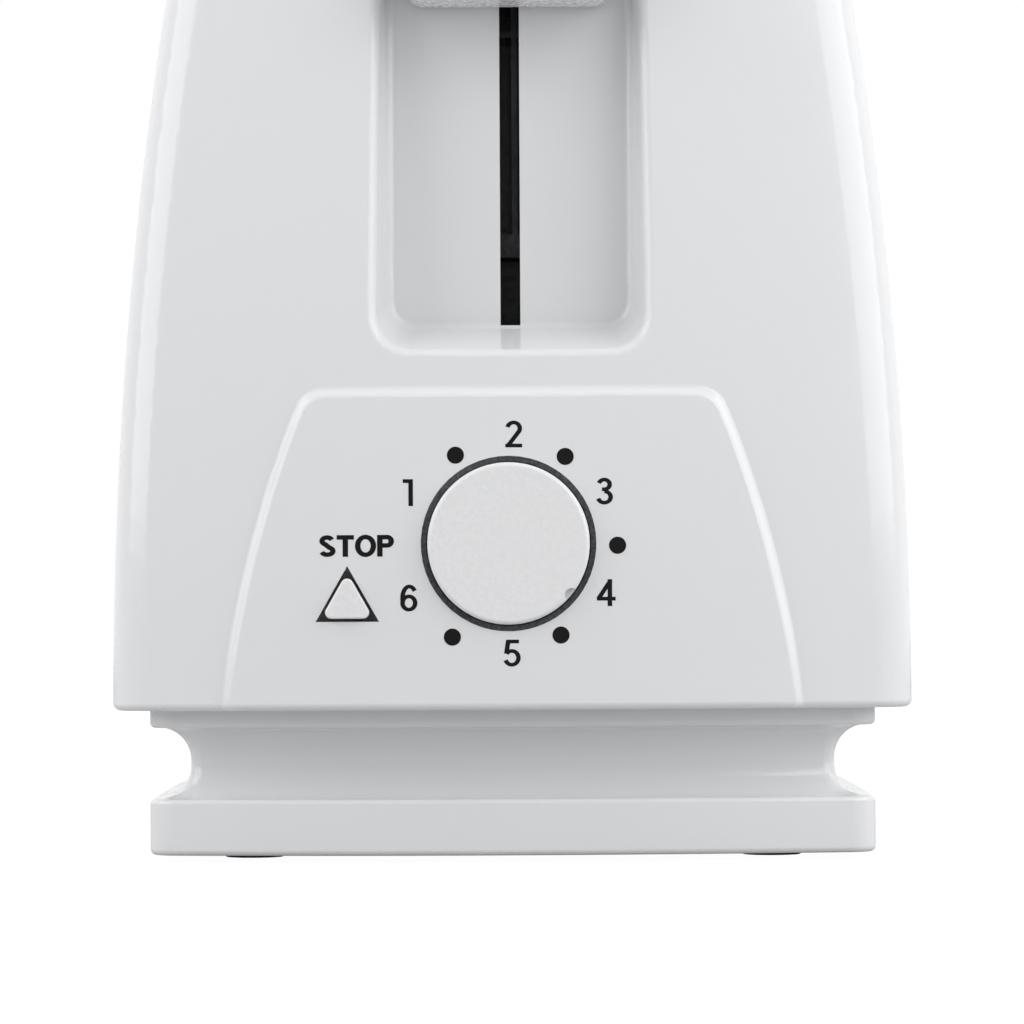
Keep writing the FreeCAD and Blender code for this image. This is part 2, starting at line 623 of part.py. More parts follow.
def heater_card(x):
    """Mica card held between the end plates."""
    return box((x - CARD / 2, x + CARD / 2), (FRONT_PLATE, REAR_PLATE), (CARD_LOW, CARD_HIGH))


def heater_ribbon(x, facing):
    """Ribbon laid to and fro over one face of a card."""
    near = x + facing * CARD / 2
    thick = sorted((near, near + facing * RIBBON))
    ends = (FRONT_PLATE + END_SPACE, REAR_PLATE - END_SPACE)
    edge = 6.0                                  # card left bare above and below
    runs = 12
    step = (CARD_HIGH - CARD_LOW - 2 * edge) / (runs - 1)
    shapes = []
    for index in range(runs):
        z = CARD_LOW + edge + index * step
        shapes.append(box(thick, ends, (z - RIBBON_WIDE / 2, z + RIBBON_WIDE / 2)))
        if index < runs - 1:
            y = ends[index % 2]
            inwards = RIBBON_WIDE if index % 2 == 0 else -RIBBON_WIDE
            shapes.append(box(thick, sorted((y, y + inwards)), (z, z + step)))
    return joined(shapes)


def guide_grid(x):
    """Bread guide: an axle wire with upright wires and a top wire."""
    top = CHASSIS_TOP - 6 * AXLE
    overhang = 3 * AXLE
    shapes = [level(AXLE, x, AXLE_Z, FRONT_PLATE - overhang, REAR_PLATE + overhang)]
    ends = (FRONT_PLATE + END_SPACE, REAR_PLATE - END_SPACE)
    shapes.append(level(AXLE, x, top, ends[0] - AXLE, ends[1] + AXLE))
    count = 9
    for index in range(count):
        y = ends[0] + index * (ends[1] - ends[0]) / (count - 1)
        shapes.append(upright(AXLE * 0.8, x, y, AXLE_Z, top))
    return joined(shapes)


def bread_rack(side):
    """Blade that lifts the bread, with cross teeth along its top edge."""
    x = side * PITCH
    blade = box((x - BLADE / 2, x + BLADE / 2), (BRACKET_Y, REAR_PLATE + SHEET + BLADE_TAIL),
                (RACK_TOP - BLADE_TALL, RACK_TOP))
    shapes = [blade]
    count = 11
    for index in range(count):
        y = FRONT_PLATE + END_SPACE + index * (CHAMBER - 2 * END_SPACE) / (count - 1)
        along = (y - TOOTH_WIDE / 2, y + TOOTH_WIDE / 2)
        shapes.append(box((x - RACK_HALF, x + RACK_HALF), along, (RACK_TOP - TOOTH, RACK_TOP)))
    return joined(shapes)


def carriage_bracket():
    """Bent sheet that joins the lever to both racks and runs on the rod."""
    front = BRACKET_Y - BRACKET
    low = RACK_TOP - BLADE_TALL - PAST
    lug_depth = (LUG_FRONT, front)
    shapes = [box((-BRACKET_HALF, BRACKET_HALF), (front, BRACKET_Y), (low, ARM_HIGH + 2 * PAST))]
    for z in (LUG_LOW, LUG_HIGH):
        shapes.append(box((-LUG_HALF, LUG_HALF), lug_depth, (z, z + BRACKET)))
    shapes.append(box((FINGER_X - FINGER_HALF, FINGER_X + FINGER_HALF), lug_depth,
                      (FINGER_LOW, FINGER_LOW + BRACKET)))
    rib_x = (RIB_X, RIB_X + BRACKET)
    shapes.append(box(rib_x, lug_depth, (LUG_LOW, ARM_LOW)))
    shapes.append(box(rib_x, (front - 3 * PAST, front), (low + 4 * PAST, LUG_LOW)))
    arm_tip = FLOOR_Y - KNOB_GAP - ARM_GRIP
    shapes.append(box((-ARM / 2, ARM / 2), (arm_tip, front), (ARM_LOW, ARM_HIGH)))
    cuts = []
    for side in SIDES:
        x = side * WINDOW_X
        cuts.append(box((x - WINDOW_HALF, x + WINDOW_HALF), (front - PAST, BRACKET_Y + PAST),
                        (LUG_LOW + WINDOW_EDGE, LUG_HIGH - WINDOW_EDGE)))
    cuts.append(upright(ROD + RUNNING, ROD_X, ROD_Y, LUG_LOW - PAST, LUG_HIGH + 3 * PAST))
    cuts.append(upright(SPRING_HOLE, -ROD_X, ROD_Y, LUG_HIGH - PAST, LUG_HIGH + 3 * PAST))
    return joined(shapes).cut(cuts)


def guide_rod():
    return upright(ROD, ROD_X, ROD_Y, SHELF, TAB_TOP + SHEET + PAST)


def lift_spring():
    """Pull spring between the top tab and the carriage's lower lug."""
    low, high = LUG_LOW + BRACKET, TAB_TOP
    path = Part.makeHelix(SPRING_PITCH, high - low - 2 * SPRING_WIRE, SPRING_MEAN)
    section = Part.Wire(Part.makeCircle(SPRING_WIRE, Vector(SPRING_MEAN, 0, 0), Vector(0, 1, 0)))
    coil = Part.Wire(path).makePipeShell([section], True, True)
    coil.translate(Vector(-ROD_X, ROD_Y, low + SPRING_WIRE))
    return coil


def latch_keeper():
    """Soft-iron plate under the lower lug that the magnet holds."""
    return box((-MAGNET_HALF, MAGNET_HALF), (LUG_FRONT, LUG_FRONT + 2 * KEEPER_REACH),
               (LUG_LOW - KEEPER, LUG_LOW))


def magnet_core():
    """E-shaped core on the shelf, its poles just under the lowered keeper."""
    high = KEEPER_DOWN - FLAT
    depth = (MAGNET_Y - POLE_HALF, MAGNET_Y + POLE_HALF)
    shapes = [box((-MAGNET_HALF, MAGNET_HALF), depth, (SHELF_TOP, SHELF_TOP + YOKE))]
    outer = MAGNET_HALF - SIDE_POLE_HALF
    for x, half in ((0, POLE_HALF), (-outer, SIDE_POLE_HALF), (outer, SIDE_POLE_HALF)):
        shapes.append(box((x - half, x + half), depth, (SHELF_TOP, high)))
    return joined(shapes)


def magnet_coil():
    """Winding on its bobbin round the middle leg."""
    low = SHELF_TOP + YOKE
    high = KEEPER_DOWN - 2 * PAST
    cheek = 1.2
    half, deep = 6.0, 5.5
    foot = box((-half - PAST / 2, half + PAST / 2), (MAGNET_Y - deep - PAST / 2, MAGNET_Y + deep + PAST / 2),
               (low, low + cheek))
    top = foot.translated(Vector(0, 0, high - low - cheek))
    winding = box((-half, half), (MAGNET_Y - deep, MAGNET_Y + deep), (low + cheek, high - cheek))
    winding = softened(winding, 2, lambda edge: edge.BoundBox.ZLength > cheek)
    leg = (MAGNET_Y - POLE_HALF, MAGNET_Y + POLE_HALF)
    hole = box((-POLE_HALF, POLE_HALF), leg, (low - PAST, high + PAST))
    return joined([foot, winding, top]).cut(hole)


def lever_knob():
    """Paddle on the end of the carriage arm."""
    back = FLOOR_Y - KNOB_GAP
    front = FRONT - KNOB_PROUD
    body = box((-KNOB_HALF, KNOB_HALF), (front, back), (KNOB_LOW, KNOB_HIGH))
    body = softened(body, KNOB_CORNER, lambda edge: edge.BoundBox.YLength > KNOB_CORNER)
    body = softened(body, KNOB_ROUND, lambda edge: edge.BoundBox.YMax < front + SAME)
    arm = box((-ARM / 2, ARM / 2), (back - ARM_GRIP, back + PAST), (ARM_LOW, ARM_HIGH))
    return body.cut(arm)


def on_dial_axis(radius, low, high):
    """Cylinder along the dial's axis."""
    return level(radius, DIAL_X, DIAL_HEIGHT, low, high)


def browning_dial():
    """Round knob with a notch for its pointer and a hub on the spindle."""
    front = DIAL_FACE
    back = FRONT + DIAL_SKIRT
    cap = softened(on_dial_axis(DIAL_RADIUS, front, back), DIAL_ROUND,
                   lambda edge: edge.BoundBox.YMax < front + SAME)
    hollow = on_dial_axis(DIAL_RADIUS - DIAL_WALL, front + DIAL_WALL, back + PAST)
    angle = math.radians(NOTCH_ANGLE)
    x = DIAL_X + DIAL_RADIUS * math.cos(angle)
    z = DIAL_HEIGHT + DIAL_RADIUS * math.sin(angle)
    notch = level(NOTCH, x, z, front - PAST, front + NOTCH_DEEP)
    hub = on_dial_axis(HUB, front + DIAL_WALL / 2, FRONT + HUB_BACK)
    bore = on_dial_axis(SPINDLE, SPINDLE_TIP, FRONT + HUB_BACK + PAST)
    return joined([cap.cut(hollow), hub]).cut([notch, bore])


def dial_seal():
    """Dark felt ring that closes the gap round the dial."""
    ring = on_dial_axis(DIAL_HOLE, SEAL_BACK - SEAL_TALL, SEAL_BACK)
    return ring.cut(on_dial_axis(DIAL_HOLE - SEAL, SEAL_BACK - SEAL_TALL - PAST, SEAL_BACK + PAST))


def dial_spindle():
    return on_dial_axis(SPINDLE, SPINDLE_TIP, SPINDLE_END)


def potentiometer_body():
    """Timer control on the board, with a bushing that the spindle turns in."""
    half, deep = 8.0, 9.0
    case = box((DIAL_X - half, DIAL_X + half), (BOARD_Y - deep, BOARD_Y),
               (DIAL_HEIGHT - half, DIAL_HEIGHT + half))
    case = softened(case, 1, lambda edge: edge.BoundBox.YLength > deep / 2)
    bush = on_dial_axis(SPINDLE * 1.5, BOARD_Y - deep - 4, BOARD_Y - deep)
    bore = on_dial_axis(SPINDLE + RUNNING, BOARD_Y - deep - 5, SPINDLE_END + PAST / 2)
    return joined([case, bush]).cut(bore)


def control_board():
    """Circuit board screwed to the posts behind the panel."""
    behind = BOARD_Y + BOARD
    board = box((-BOARD_HALF, BOARD_HALF), (BOARD_Y, behind), (BOARD_LOW, BOARD_HIGH))
    return board.cut([level(BOARD_SCREW, x, z, BOARD_Y - PAST, behind + PAST) for x, z in post_places()])


def board_components():
    """Chip, capacitors and resistors on the face of the board."""
    chip_x = (BOARD_HALF - 29, BOARD_HALF - 11)
    shapes = [box(chip_x, (BOARD_Y - 3.5, BOARD_Y), (BOARD_LOW + 10, BOARD_LOW + 17))]
    can, can_x, can_pitch = 4.0, BOARD_HALF - 25, 11.0
    for index in range(2):
        shapes.append(level(can, can_x + index * can_pitch, BOARD_HIGH - 15, BOARD_Y - 10, BOARD_Y))
    thick, first, pitch = 2.4, 15 - BOARD_HALF, 4.0
    upright_span = (BOARD_HIGH - 19, BOARD_HIGH - 11)
    for index in range(4):
        x = first + index * pitch
        shapes.append(box((x, x + thick), (BOARD_Y - thick, BOARD_Y), upright_span))
    return Part.makeCompound(shapes)


def board_screws():
    """Screws from behind the board into the posts."""
    shapes = []
    behind = BOARD_Y + BOARD
    for x, z in post_places():
        head = level(BOARD_HEAD, x, z, behind, behind + BOARD)
        shapes.append(joined([head, level(BOARD_SCREW, x, z, BOARD_Y - 2 * POST_BORE / 3, behind)]))
    return Part.makeCompound(shapes)


def stop_button():
    """Triangular cap with a retaining flange and a stem to the switch."""
    face = FRONT + BUTTON_X ** 2 / (2 * END_BOW) - PANEL_RISE - BUTTON_PROUD
    back = FRONT + BUTTON_COLLAR + SLIDE_GAP
    cap = triangle(-BUTTON_GAP, face, back, BUTTON_ROUND)
    cap = softened(cap, FLAT, lambda edge: edge.BoundBox.YMax < face + SAME)
    flange = triangle(2 * BUTTON_GAP, back, back + BUTTON_FLANGE, BUTTON_ROUND)
    stem = level(STEM, BUTTON_X, BUTTON_MIDDLE, back + PAST, BOARD_Y - PLUNGER_OUT)
    return joined([cap, flange, stem])


def stop_switch():
    """Push switch on the board under the button's stem."""
    half, deep = 4.5, 4.0
    case = box((BUTTON_X - half, BUTTON_X + half), (BOARD_Y - deep, BOARD_Y),
               (BUTTON_MIDDLE - half, BUTTON_MIDDLE + half))
    return case.cut(level(PLUNGER + RUNNING, BUTTON_X, BUTTON_MIDDLE, BOARD_Y - deep - PAST, BOARD_Y - FLAT))


def switch_plunger():
    tip = BOARD_Y - PLUNGER_OUT
    inner = BOARD_Y - FLAT - BUTTON_TRAVEL - PAST / 2
    return level(PLUNGER, BUTTON_X, BUTTON_MIDDLE, tip, inner)


def mains_switch():
    """Contact block on the shelf, closed by the carriage's finger."""
    top = FINGER_LOW - TRAVEL - PAST
    reach, half, leaf = 13.0, 7.0, 2.0
    shapes = [box((FINGER_X - half, FINGER_X + half), (LUG_FRONT, LUG_FRONT + reach),
                  (SHELF_TOP, top - 2 * leaf))]
    for side in SIDES:
        x = FINGER_X + side * (leaf + PAST)
        shapes.append(box((x - leaf / 2, x + leaf / 2), (LUG_FRONT + leaf, LUG_FRONT + reach - leaf),
                          (top - 3 * leaf, top)))
    return joined(shapes)


def terminal_block():
    """Mains terminals on the rear plate, between the two racks."""
    face = REAR_PLATE + SHEET
    half, low, bore = 14.0, 60.0, 2.0
    block = box((-half, half), (face, face + half), (low, low + half))
    deep = (face + 2 * bore, face + half + PAST)
    holes = [level(bore, place * 4 * bore, low + half / 2, *deep) for place in (-1, 0, 1)]
    return block.cut(holes)


def crumb_tray():
    """Shallow steel tray, open at the top."""
    y = (FRONT_PLATE - TRAY_FRONT, TRAY_BACK)
    outer = box((-TRAY_HALF, TRAY_HALF), y, (TRAY_LOW, TRAY_TOP))
    inner = box((-TRAY_HALF + TRAY_WALL, TRAY_HALF - TRAY_WALL), (y[0] + TRAY_WALL, y[1] - TRAY_WALL),
                (TRAY_LOW + TRAY_WALL, TRAY_TOP + PAST))
    return outer.cut(inner)


def crumb_tray_grip():
    """Grip that closes the tray's opening and sticks out for the fingers."""
    body = box((-TRAY_HALF, TRAY_HALF), (TRAY_BACK, LENGTH / 2), (TRAY_LOW, TRAY_TOP))
    body = body.common(plan_block(SETBACK, STANDOFF, FLANGE_TOP, BASE_CORNER))
    lip = box((-GRIP_HALF, GRIP_HALF), (TRAY_BACK, TAIL), (TRAY_LOW + 1.5, TRAY_TOP - 0.6))

    def outer_corner(edge):
        return edge.BoundBox.ZLength > PAST and edge.BoundBox.YMin > TAIL - PAST

    return joined([body, softened(lip, 4, outer_corner)])


def cord_bushing(base):
    """Bushing in the groove's rear wall; the cord itself is not modelled."""
    wall = LENGTH / 2 - SETBACK - GROOVE_DEPTH
    rim = 1.6
    seat = wall - SKIN - 2.0                    # clear of the bowed wall
    body = level(GLAND, CORD_X, CORD_Z, seat - rim, wall + PAST)
    outside = level(GLAND + 1, CORD_X, CORD_Z, wall - rim, wall + rim)
    inside = level(GLAND + rim, CORD_X, CORD_Z, seat - 2 * rim + 0.1, seat)
    bush = joined([body, outside, inside]).cut(base)
    return bush.cut(level(CORD_BORE, CORD_X, CORD_Z, seat - 3 * rim, wall + 3 * rim))


def save(name, shape):
    """Write one named piece, moved so that the whole object is centred."""
    placed = shape.translated(Vector(0, SHIFT, 0))
    placed.exportStep("parts/" + name + ".step")
    solids = len(placed.Solids)
    print(name, "valid" if placed.isValid() else "INVALID", solids, round(placed.Volume))


def main():
    os.makedirs("parts", exist_ok=True)
    base = base_housing()
    save("outer_shell", outer_shell())
    save("base_housing", base)
    save("cord_bushing", cord_bushing(base))
    pieces = [
        bottom_cover, rubber_feet, base_screws, chassis_screws, chassis_front_plate,
        chassis_rear_plate, chassis_top_plate, carriage_bracket, guide_rod, lift_spring,
        latch_keeper, magnet_core, magnet_coil, lever_knob, browning_dial, dial_seal, dial_spindle,
        potentiometer_body, control_board, board_components, board_screws, stop_button,
        stop_switch, switch_plunger, mains_switch, terminal_block, crumb_tray, crumb_tray_grip,
    ]
    for make in pieces:
        save(make.__name__, make())
    for name, side in (("left", -1), ("right", 1)):
        save("side_reflector_" + name, side_reflector(side))
        save("heater_card_" + name, heater_card(side * CARD_X))
        save("heater_ribbon_" + name, heater_ribbon(side * CARD_X, -side))
        save("bread_rack_" + name, bread_rack(side))
        save("bread_guide_" + name + "_outer", guide_grid(side * (PITCH + GUIDE_X)))
        save("bread_guide_" + name + "_inner", guide_grid(side * (PITCH - GUIDE_X)))
    save("heater_card_centre", heater_card(0))
    ribbons = [heater_ribbon(0, facing) for facing in SIDES]
    save("heater_ribbon_centre", Part.makeCompound(ribbons))


main()
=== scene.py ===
"""Looks of a two-slice pop-up toaster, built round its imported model."""

import math

import bmesh
import bpy
import numpy as np
from bpy.props import FloatProperty, FloatVectorProperty, IntProperty, PointerProperty, StringProperty
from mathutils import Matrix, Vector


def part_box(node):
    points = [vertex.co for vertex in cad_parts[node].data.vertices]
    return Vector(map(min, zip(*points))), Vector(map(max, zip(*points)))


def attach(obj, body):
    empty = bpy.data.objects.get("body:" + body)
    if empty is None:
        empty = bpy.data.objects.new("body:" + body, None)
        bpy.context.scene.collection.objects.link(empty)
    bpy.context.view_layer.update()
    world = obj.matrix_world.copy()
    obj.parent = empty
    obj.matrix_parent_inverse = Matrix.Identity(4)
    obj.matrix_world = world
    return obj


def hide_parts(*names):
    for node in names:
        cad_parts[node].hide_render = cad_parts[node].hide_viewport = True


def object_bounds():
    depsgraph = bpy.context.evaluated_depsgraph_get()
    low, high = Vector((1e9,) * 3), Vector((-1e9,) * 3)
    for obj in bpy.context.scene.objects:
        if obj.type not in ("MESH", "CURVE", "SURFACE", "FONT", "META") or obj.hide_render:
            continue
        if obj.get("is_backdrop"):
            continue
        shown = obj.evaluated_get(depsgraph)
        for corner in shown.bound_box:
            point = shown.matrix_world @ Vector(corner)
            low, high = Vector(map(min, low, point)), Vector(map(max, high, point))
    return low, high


bl_info = {
    "name": "Pop-up toaster",
    "version": (1, 0, 0),
    "blender": (4, 5, 0),
    "location": "View3D > Sidebar > Toaster",
    "description": "Finishes, printing, lights and camera for a pop-up toaster",
    "category": "Object",
}

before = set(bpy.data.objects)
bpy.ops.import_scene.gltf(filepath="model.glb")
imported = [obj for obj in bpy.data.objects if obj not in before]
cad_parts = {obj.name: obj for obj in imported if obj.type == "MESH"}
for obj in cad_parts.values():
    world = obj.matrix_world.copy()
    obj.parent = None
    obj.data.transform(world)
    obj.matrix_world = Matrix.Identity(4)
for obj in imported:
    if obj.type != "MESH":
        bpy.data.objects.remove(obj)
CAD_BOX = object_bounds()
MM = 0.001
HOUSING = "housing"

# Places read from the frame, in metres
SHELL_LOW, SHELL_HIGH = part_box("outer_shell")
DIAL_LOW, DIAL_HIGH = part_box("browning_dial")
DIAL_X = (DIAL_LOW.x + DIAL_HIGH.x) / 2
DIAL_Z = (DIAL_LOW.z + DIAL_HIGH.z) / 2
DIAL_RADIUS = (DIAL_HIGH.x - DIAL_LOW.x) / 2
BUTTON_LOW, BUTTON_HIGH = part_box("stop_button")
BUTTON_X = (BUTTON_LOW.x + BUTTON_HIGH.x) / 2
BACK_END = SHELL_HIGH.y                 # middle of the rear end, at the rim
PANEL_END = SHELL_LOW.y                 # middle of the raised panel, at the rim
SKIN = 2.4 * MM
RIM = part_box("base_housing")[1].z - SKIN
CROWN = SHELL_HIGH.z

# The curves that the shell is moulded to
SIDE_LEAN, END_LEAN = 930 * MM, 1430 * MM
SIDE_BOW, END_BOW = 6000 * MM, 370 * MM
DOME = 1800 * MM
PANEL_RISE = 1.2 * MM
WIDTH = SHELL_HIGH.x - SHELL_LOW.x
LENGTH = BACK_END - (PANEL_END + PANEL_RISE)
MIDDLE_Y = BACK_END - LENGTH / 2

# Softboxes: height of the middle, and distance from the toaster, in metres
LAMP_HEIGHT, LAMP_DISTANCE = 0.56, 1.1

# Floor: its glow, and the share of it that the camera sees
FLOOR_GLOW, FLOOR_SHARE = 1.15, 0.85

# Normals: how square a flat face is, how near a wall a point lies, how far it may lean
SQUARE_ANGLE, LEAN_ANGLE = math.radians(0.25), math.radians(8)
WALL_NEAR = 0.03 * MM


# --- Properties -------------------------------------------------------------

class ToasterPlastic(bpy.types.PropertyGroup):
    """Colours and gloss of the mouldings"""

    body: FloatVectorProperty(
        name="Body", description="Colour of the white mouldings", subtype="COLOR",
        default=(0.69, 0.695, 0.705), min=0, max=1)
    controls: FloatVectorProperty(
        name="Controls", description="Colour of the dial, lever and button", subtype="COLOR",
        default=(0.71, 0.713, 0.72), min=0, max=1)
    gloss: FloatProperty(
        name="Body roughness", description="Lower is glossier", subtype="FACTOR",
        default=0.13, min=0.02, max=1)
    ripple: FloatProperty(
        name="Ripple", description="Height of the moulding's faint waviness", unit="LENGTH",
        default=0.004 * MM, min=0, max=0.1 * MM)
    control_ripple: FloatProperty(
        name="Control ripple", description="Waviness of the dial, lever and button", unit="LENGTH",
        default=0.001 * MM, min=0, max=0.1 * MM)


class ToasterPrint(bpy.types.PropertyGroup):
    """Printed scale and label on the control panel"""

    ink: FloatVectorProperty(
        name="Ink", description="Colour of the printing", subtype="COLOR",
        default=(0.003, 0.003, 0.0033), min=0, max=1)
    digit_height: FloatProperty(
        name="Digit height", description="Height of the scale's digits", unit="LENGTH",
        default=5.2 * MM, min=1 * MM, max=10 * MM)
    digit_weight: FloatProperty(
        name="Digit weight", description="Thickness of a digit's upright strokes", unit="LENGTH",
        default=0.88 * MM, min=0.1 * MM, max=2 * MM)
    digit_ring: FloatProperty(
        name="Digit ring", description="Radius on which the digits stand", unit="LENGTH",
        default=21.3 * MM, min=18 * MM, max=30 * MM)
    dot_ring: FloatProperty(
        name="Dot ring", description="Radius on which the dots stand", unit="LENGTH",
        default=20.5 * MM, min=18 * MM, max=30 * MM)
    dot_size: FloatProperty(
        name="Dot size", description="Diameter of a dot", unit="LENGTH",
        default=3.32 * MM, min=0.5 * MM, max=6 * MM)
    steps: IntProperty(
        name="Steps", description="Number of browning steps", default=6, min=2, max=9)
    label: StringProperty(
        name="Label", description="Plain word over the button, from the letters O, P, S and T",
        default="STOP")
    label_height: FloatProperty(
        name="Label height", description="Height of the label's capitals", unit="LENGTH",
        default=4.2 * MM, min=1 * MM, max=10 * MM)
    label_weight: FloatProperty(
        name="Label weight", description="Thickness of the label's upright strokes", unit="LENGTH",
        default=1.06 * MM, min=0.1 * MM, max=2 * MM)


class ToasterStage(bpy.types.PropertyGroup):
    """Floor, lights and camera"""

    distance: FloatProperty(
        name="Distance", description="Camera to the lever end", unit="LENGTH",
        default=1.0, min=0.4, max=3)
    eye: FloatProperty(
        name="Eye height", description="Camera above the table", unit="LENGTH",
        default=49 * MM, min=5 * MM, max=1)
    aim: FloatProperty(
        name="Aim height", description="Height at the middle of the picture", unit="LENGTH",
        default=68.3 * MM, min=0, max=0.3)
    span: FloatProperty(
        name="Span", description="Width seen at the lever end", unit="LENGTH",
        default=198.2 * MM, min=0.05, max=1)
    roll: FloatProperty(
        name="Roll", description="Tilt of the camera", subtype="ANGLE",
        default=math.radians(0.3), min=-1, max=1)
    right_light: FloatProperty(
        name="Right light", description="Power of the softbox on the right", default=10.5, min=0, max=100)
    left_light: FloatProperty(
        name="Left light", description="Power of the softbox on the left", default=7.4, min=0, max=100)
    front: FloatProperty(
        name="Front", description="Brightness of the surround on the lever's side",
        default=0.3, min=0, max=5)
    behind: FloatProperty(
        name="Behind", description="Brightness of the surround behind the toaster",
        default=1.0, min=0, max=5)
    overhead: FloatProperty(
        name="Overhead", description="Extra brightness straight above", default=0.66, min=0, max=5)


# --- Shader groups -----------------------------------------------------------

def new_group(name, inputs, outputs):
    """Empty shader group with float inputs (name, default) and float or colour outputs."""
    tree = bpy.data.node_groups.new(name, "ShaderNodeTree")
    for label, value in inputs:
        socket = tree.interface.new_socket(label, in_out="INPUT", socket_type="NodeSocketFloat")
        socket.default_value = value
    for label, kind in outputs:
        tree.interface.new_socket(label, in_out="OUTPUT", socket_type=kind)
    entry = tree.nodes.new("NodeGroupInput")
    leave = tree.nodes.new("NodeGroupOutput")
    return tree, entry, leave


def noise(tree, vector, scale, detail=2.0):
    """Noise texture reading a vector socket; scale may be a number or a socket."""
    node = tree.nodes.new("ShaderNodeTexNoise")
    node.inputs["Detail"].default_value = detail
    tree.links.new(vector, node.inputs["Vector"])
    if isinstance(scale, (int, float)):
        node.inputs["Scale"].default_value = scale
    else:
        tree.links.new(scale, node.inputs["Scale"])
    return node.outputs["Fac"]


def remap(tree, value, low, high, start=0.0, end=1.0):
    """Map Range node: start..end becomes low..high, held at both ends."""
    node = tree.nodes.new("ShaderNodeMapRange")
    tree.links.new(value, node.inputs["Value"])
    for label, number in (("From Min", start), ("From Max", end), ("To Min", low), ("To Max", high)):
        if isinstance(number, (int, float)):
            node.inputs[label].default_value = number
        else:
            tree.links.new(number, node.inputs[label])
    return node.outputs["Result"]


def moulded_skin_group():
    """Faint waviness and gloss changes of an injection-moulded face."""
    tree, entry, leave = new_group(
        "moulded_skin",
        [("Wave Scale", 60.0), ("Grain Scale", 4000.0), ("Grain Share", 0.15),
         ("Gloss Low", 0.12), ("Gloss High", 0.17)],
        [("Height", "NodeSocketFloat"), ("Roughness", "NodeSocketFloat")])
    where = tree.nodes.new("ShaderNodeTexCoord").outputs["Object"]
    wave = noise(tree, where, entry.outputs["Wave Scale"], 1.0)
    grain = noise(tree, where, entry.outputs["Grain Scale"], 2.0)
    mix = tree.nodes.new("ShaderNodeMix")
    tree.links.new(entry.outputs["Grain Share"], mix.inputs["Factor"])
    tree.links.new(wave, mix.inputs["A"])
    tree.links.new(grain, mix.inputs["B"])
    tree.links.new(mix.outputs["Result"], leave.inputs["Height"])
    gloss = remap(tree, wave, entry.outputs["Gloss Low"], entry.outputs["Gloss High"], 0.3, 0.7)
    tree.links.new(gloss, leave.inputs["Roughness"])
    return tree


def rolled_sheet_group():
    """Fine lines and blotches of rolled or drawn metal."""
    tree, entry, leave = new_group(
        "rolled_sheet",
        [("Line Scale", 900.0), ("Blotch Scale", 45.0), ("Rough Low", 0.25), ("Rough High", 0.45)],
        [("Height", "NodeSocketFloat"), ("Roughness", "NodeSocketFloat"), ("Blotch", "NodeSocketFloat")])
    where = tree.nodes.new("ShaderNodeTexCoord").outputs["Object"]
    stretch = tree.nodes.new("ShaderNodeMapping")
    stretch.inputs["Scale"].default_value = (1.0, 0.03, 1.0)
    tree.links.new(where, stretch.inputs["Vector"])
    lines = noise(tree, stretch.outputs["Vector"], entry.outputs["Line Scale"], 3.0)
    blotch = noise(tree, where, entry.outputs["Blotch Scale"], 4.0)
    rough = remap(tree, lines, entry.outputs["Rough Low"], entry.outputs["Rough High"], 0.3, 0.7)
    tree.links.new(lines, leave.inputs["Height"])
    tree.links.new(rough, leave.inputs["Roughness"])
    tree.links.new(blotch, leave.inputs["Blotch"])
    return tree


def shader_group(name):
    """A shader group, built the first time that it is asked for."""
    makers = {"moulded_skin": moulded_skin_group, "rolled_sheet": rolled_sheet_group}
    return bpy.data.node_groups.get(name) or makers[name]()


# --- Materials ---------------------------------------------------------------

def new_material(name, color, **settings):
    """Principled material; settings are socket names with _ for spaces."""
    material = bpy.data.materials.new(name)
    material.use_nodes = True
    shader = material.node_tree.nodes["Principled BSDF"]
    shader.inputs["Base Color"].default_value = (*color[:3], 1)
    for key, value in settings.items():
        shader.inputs[key.replace("_", " ")].default_value = value
    return material, material.node_tree, shader


def place_group(tree, name, **values):
    node = tree.nodes.new("ShaderNodeGroup")
    node.node_tree = shader_group(name)
    for key, value in values.items():
        node.inputs[key.replace("_", " ")].default_value = value
    return node


def bump(tree, shader, height, distance, strength=1.0):
    node = tree.nodes.new("ShaderNodeBump")
    node.inputs["Distance"].default_value = distance
    node.inputs["Strength"].default_value = strength
    tree.links.new(height, node.inputs["Height"])
    tree.links.new(node.outputs["Normal"], shader.inputs["Normal"])


def tint(tree, shader, mask, dark, light):
    """Base colour that runs from dark to light with a mask."""
    mix = tree.nodes.new("ShaderNodeMix")
    mix.data_type = "RGBA"
    mix.inputs["A"].default_value = (*dark, 1)
    mix.inputs["B"].default_value = (*light, 1)
    tree.links.new(mask, mix.inputs["Factor"])
    tree.links.new(mix.outputs["Result"], shader.inputs["Base Color"])


def plastic(name, color, rough, ripple, wave=60.0, grain=0.12):
    """White or coloured moulding with a faint orange-peel surface."""
    material, tree, shader = new_material(
        name, color, IOR=1.5, Subsurface_Weight=0.06, Subsurface_Scale=0.002, Coat_Weight=0.0)
    shader.inputs["Subsurface Radius"].default_value = (1.0, 1.0, 1.0)
    skin = place_group(
        tree, "moulded_skin", Wave_Scale=wave, Grain_Share=grain,
        Gloss_Low=rough * 0.85, Gloss_High=rough * 1.25)
    tree.links.new(skin.outputs["Roughness"], shader.inputs["Roughness"])
    bump(tree, shader, skin.outputs["Height"], ripple)
    return material


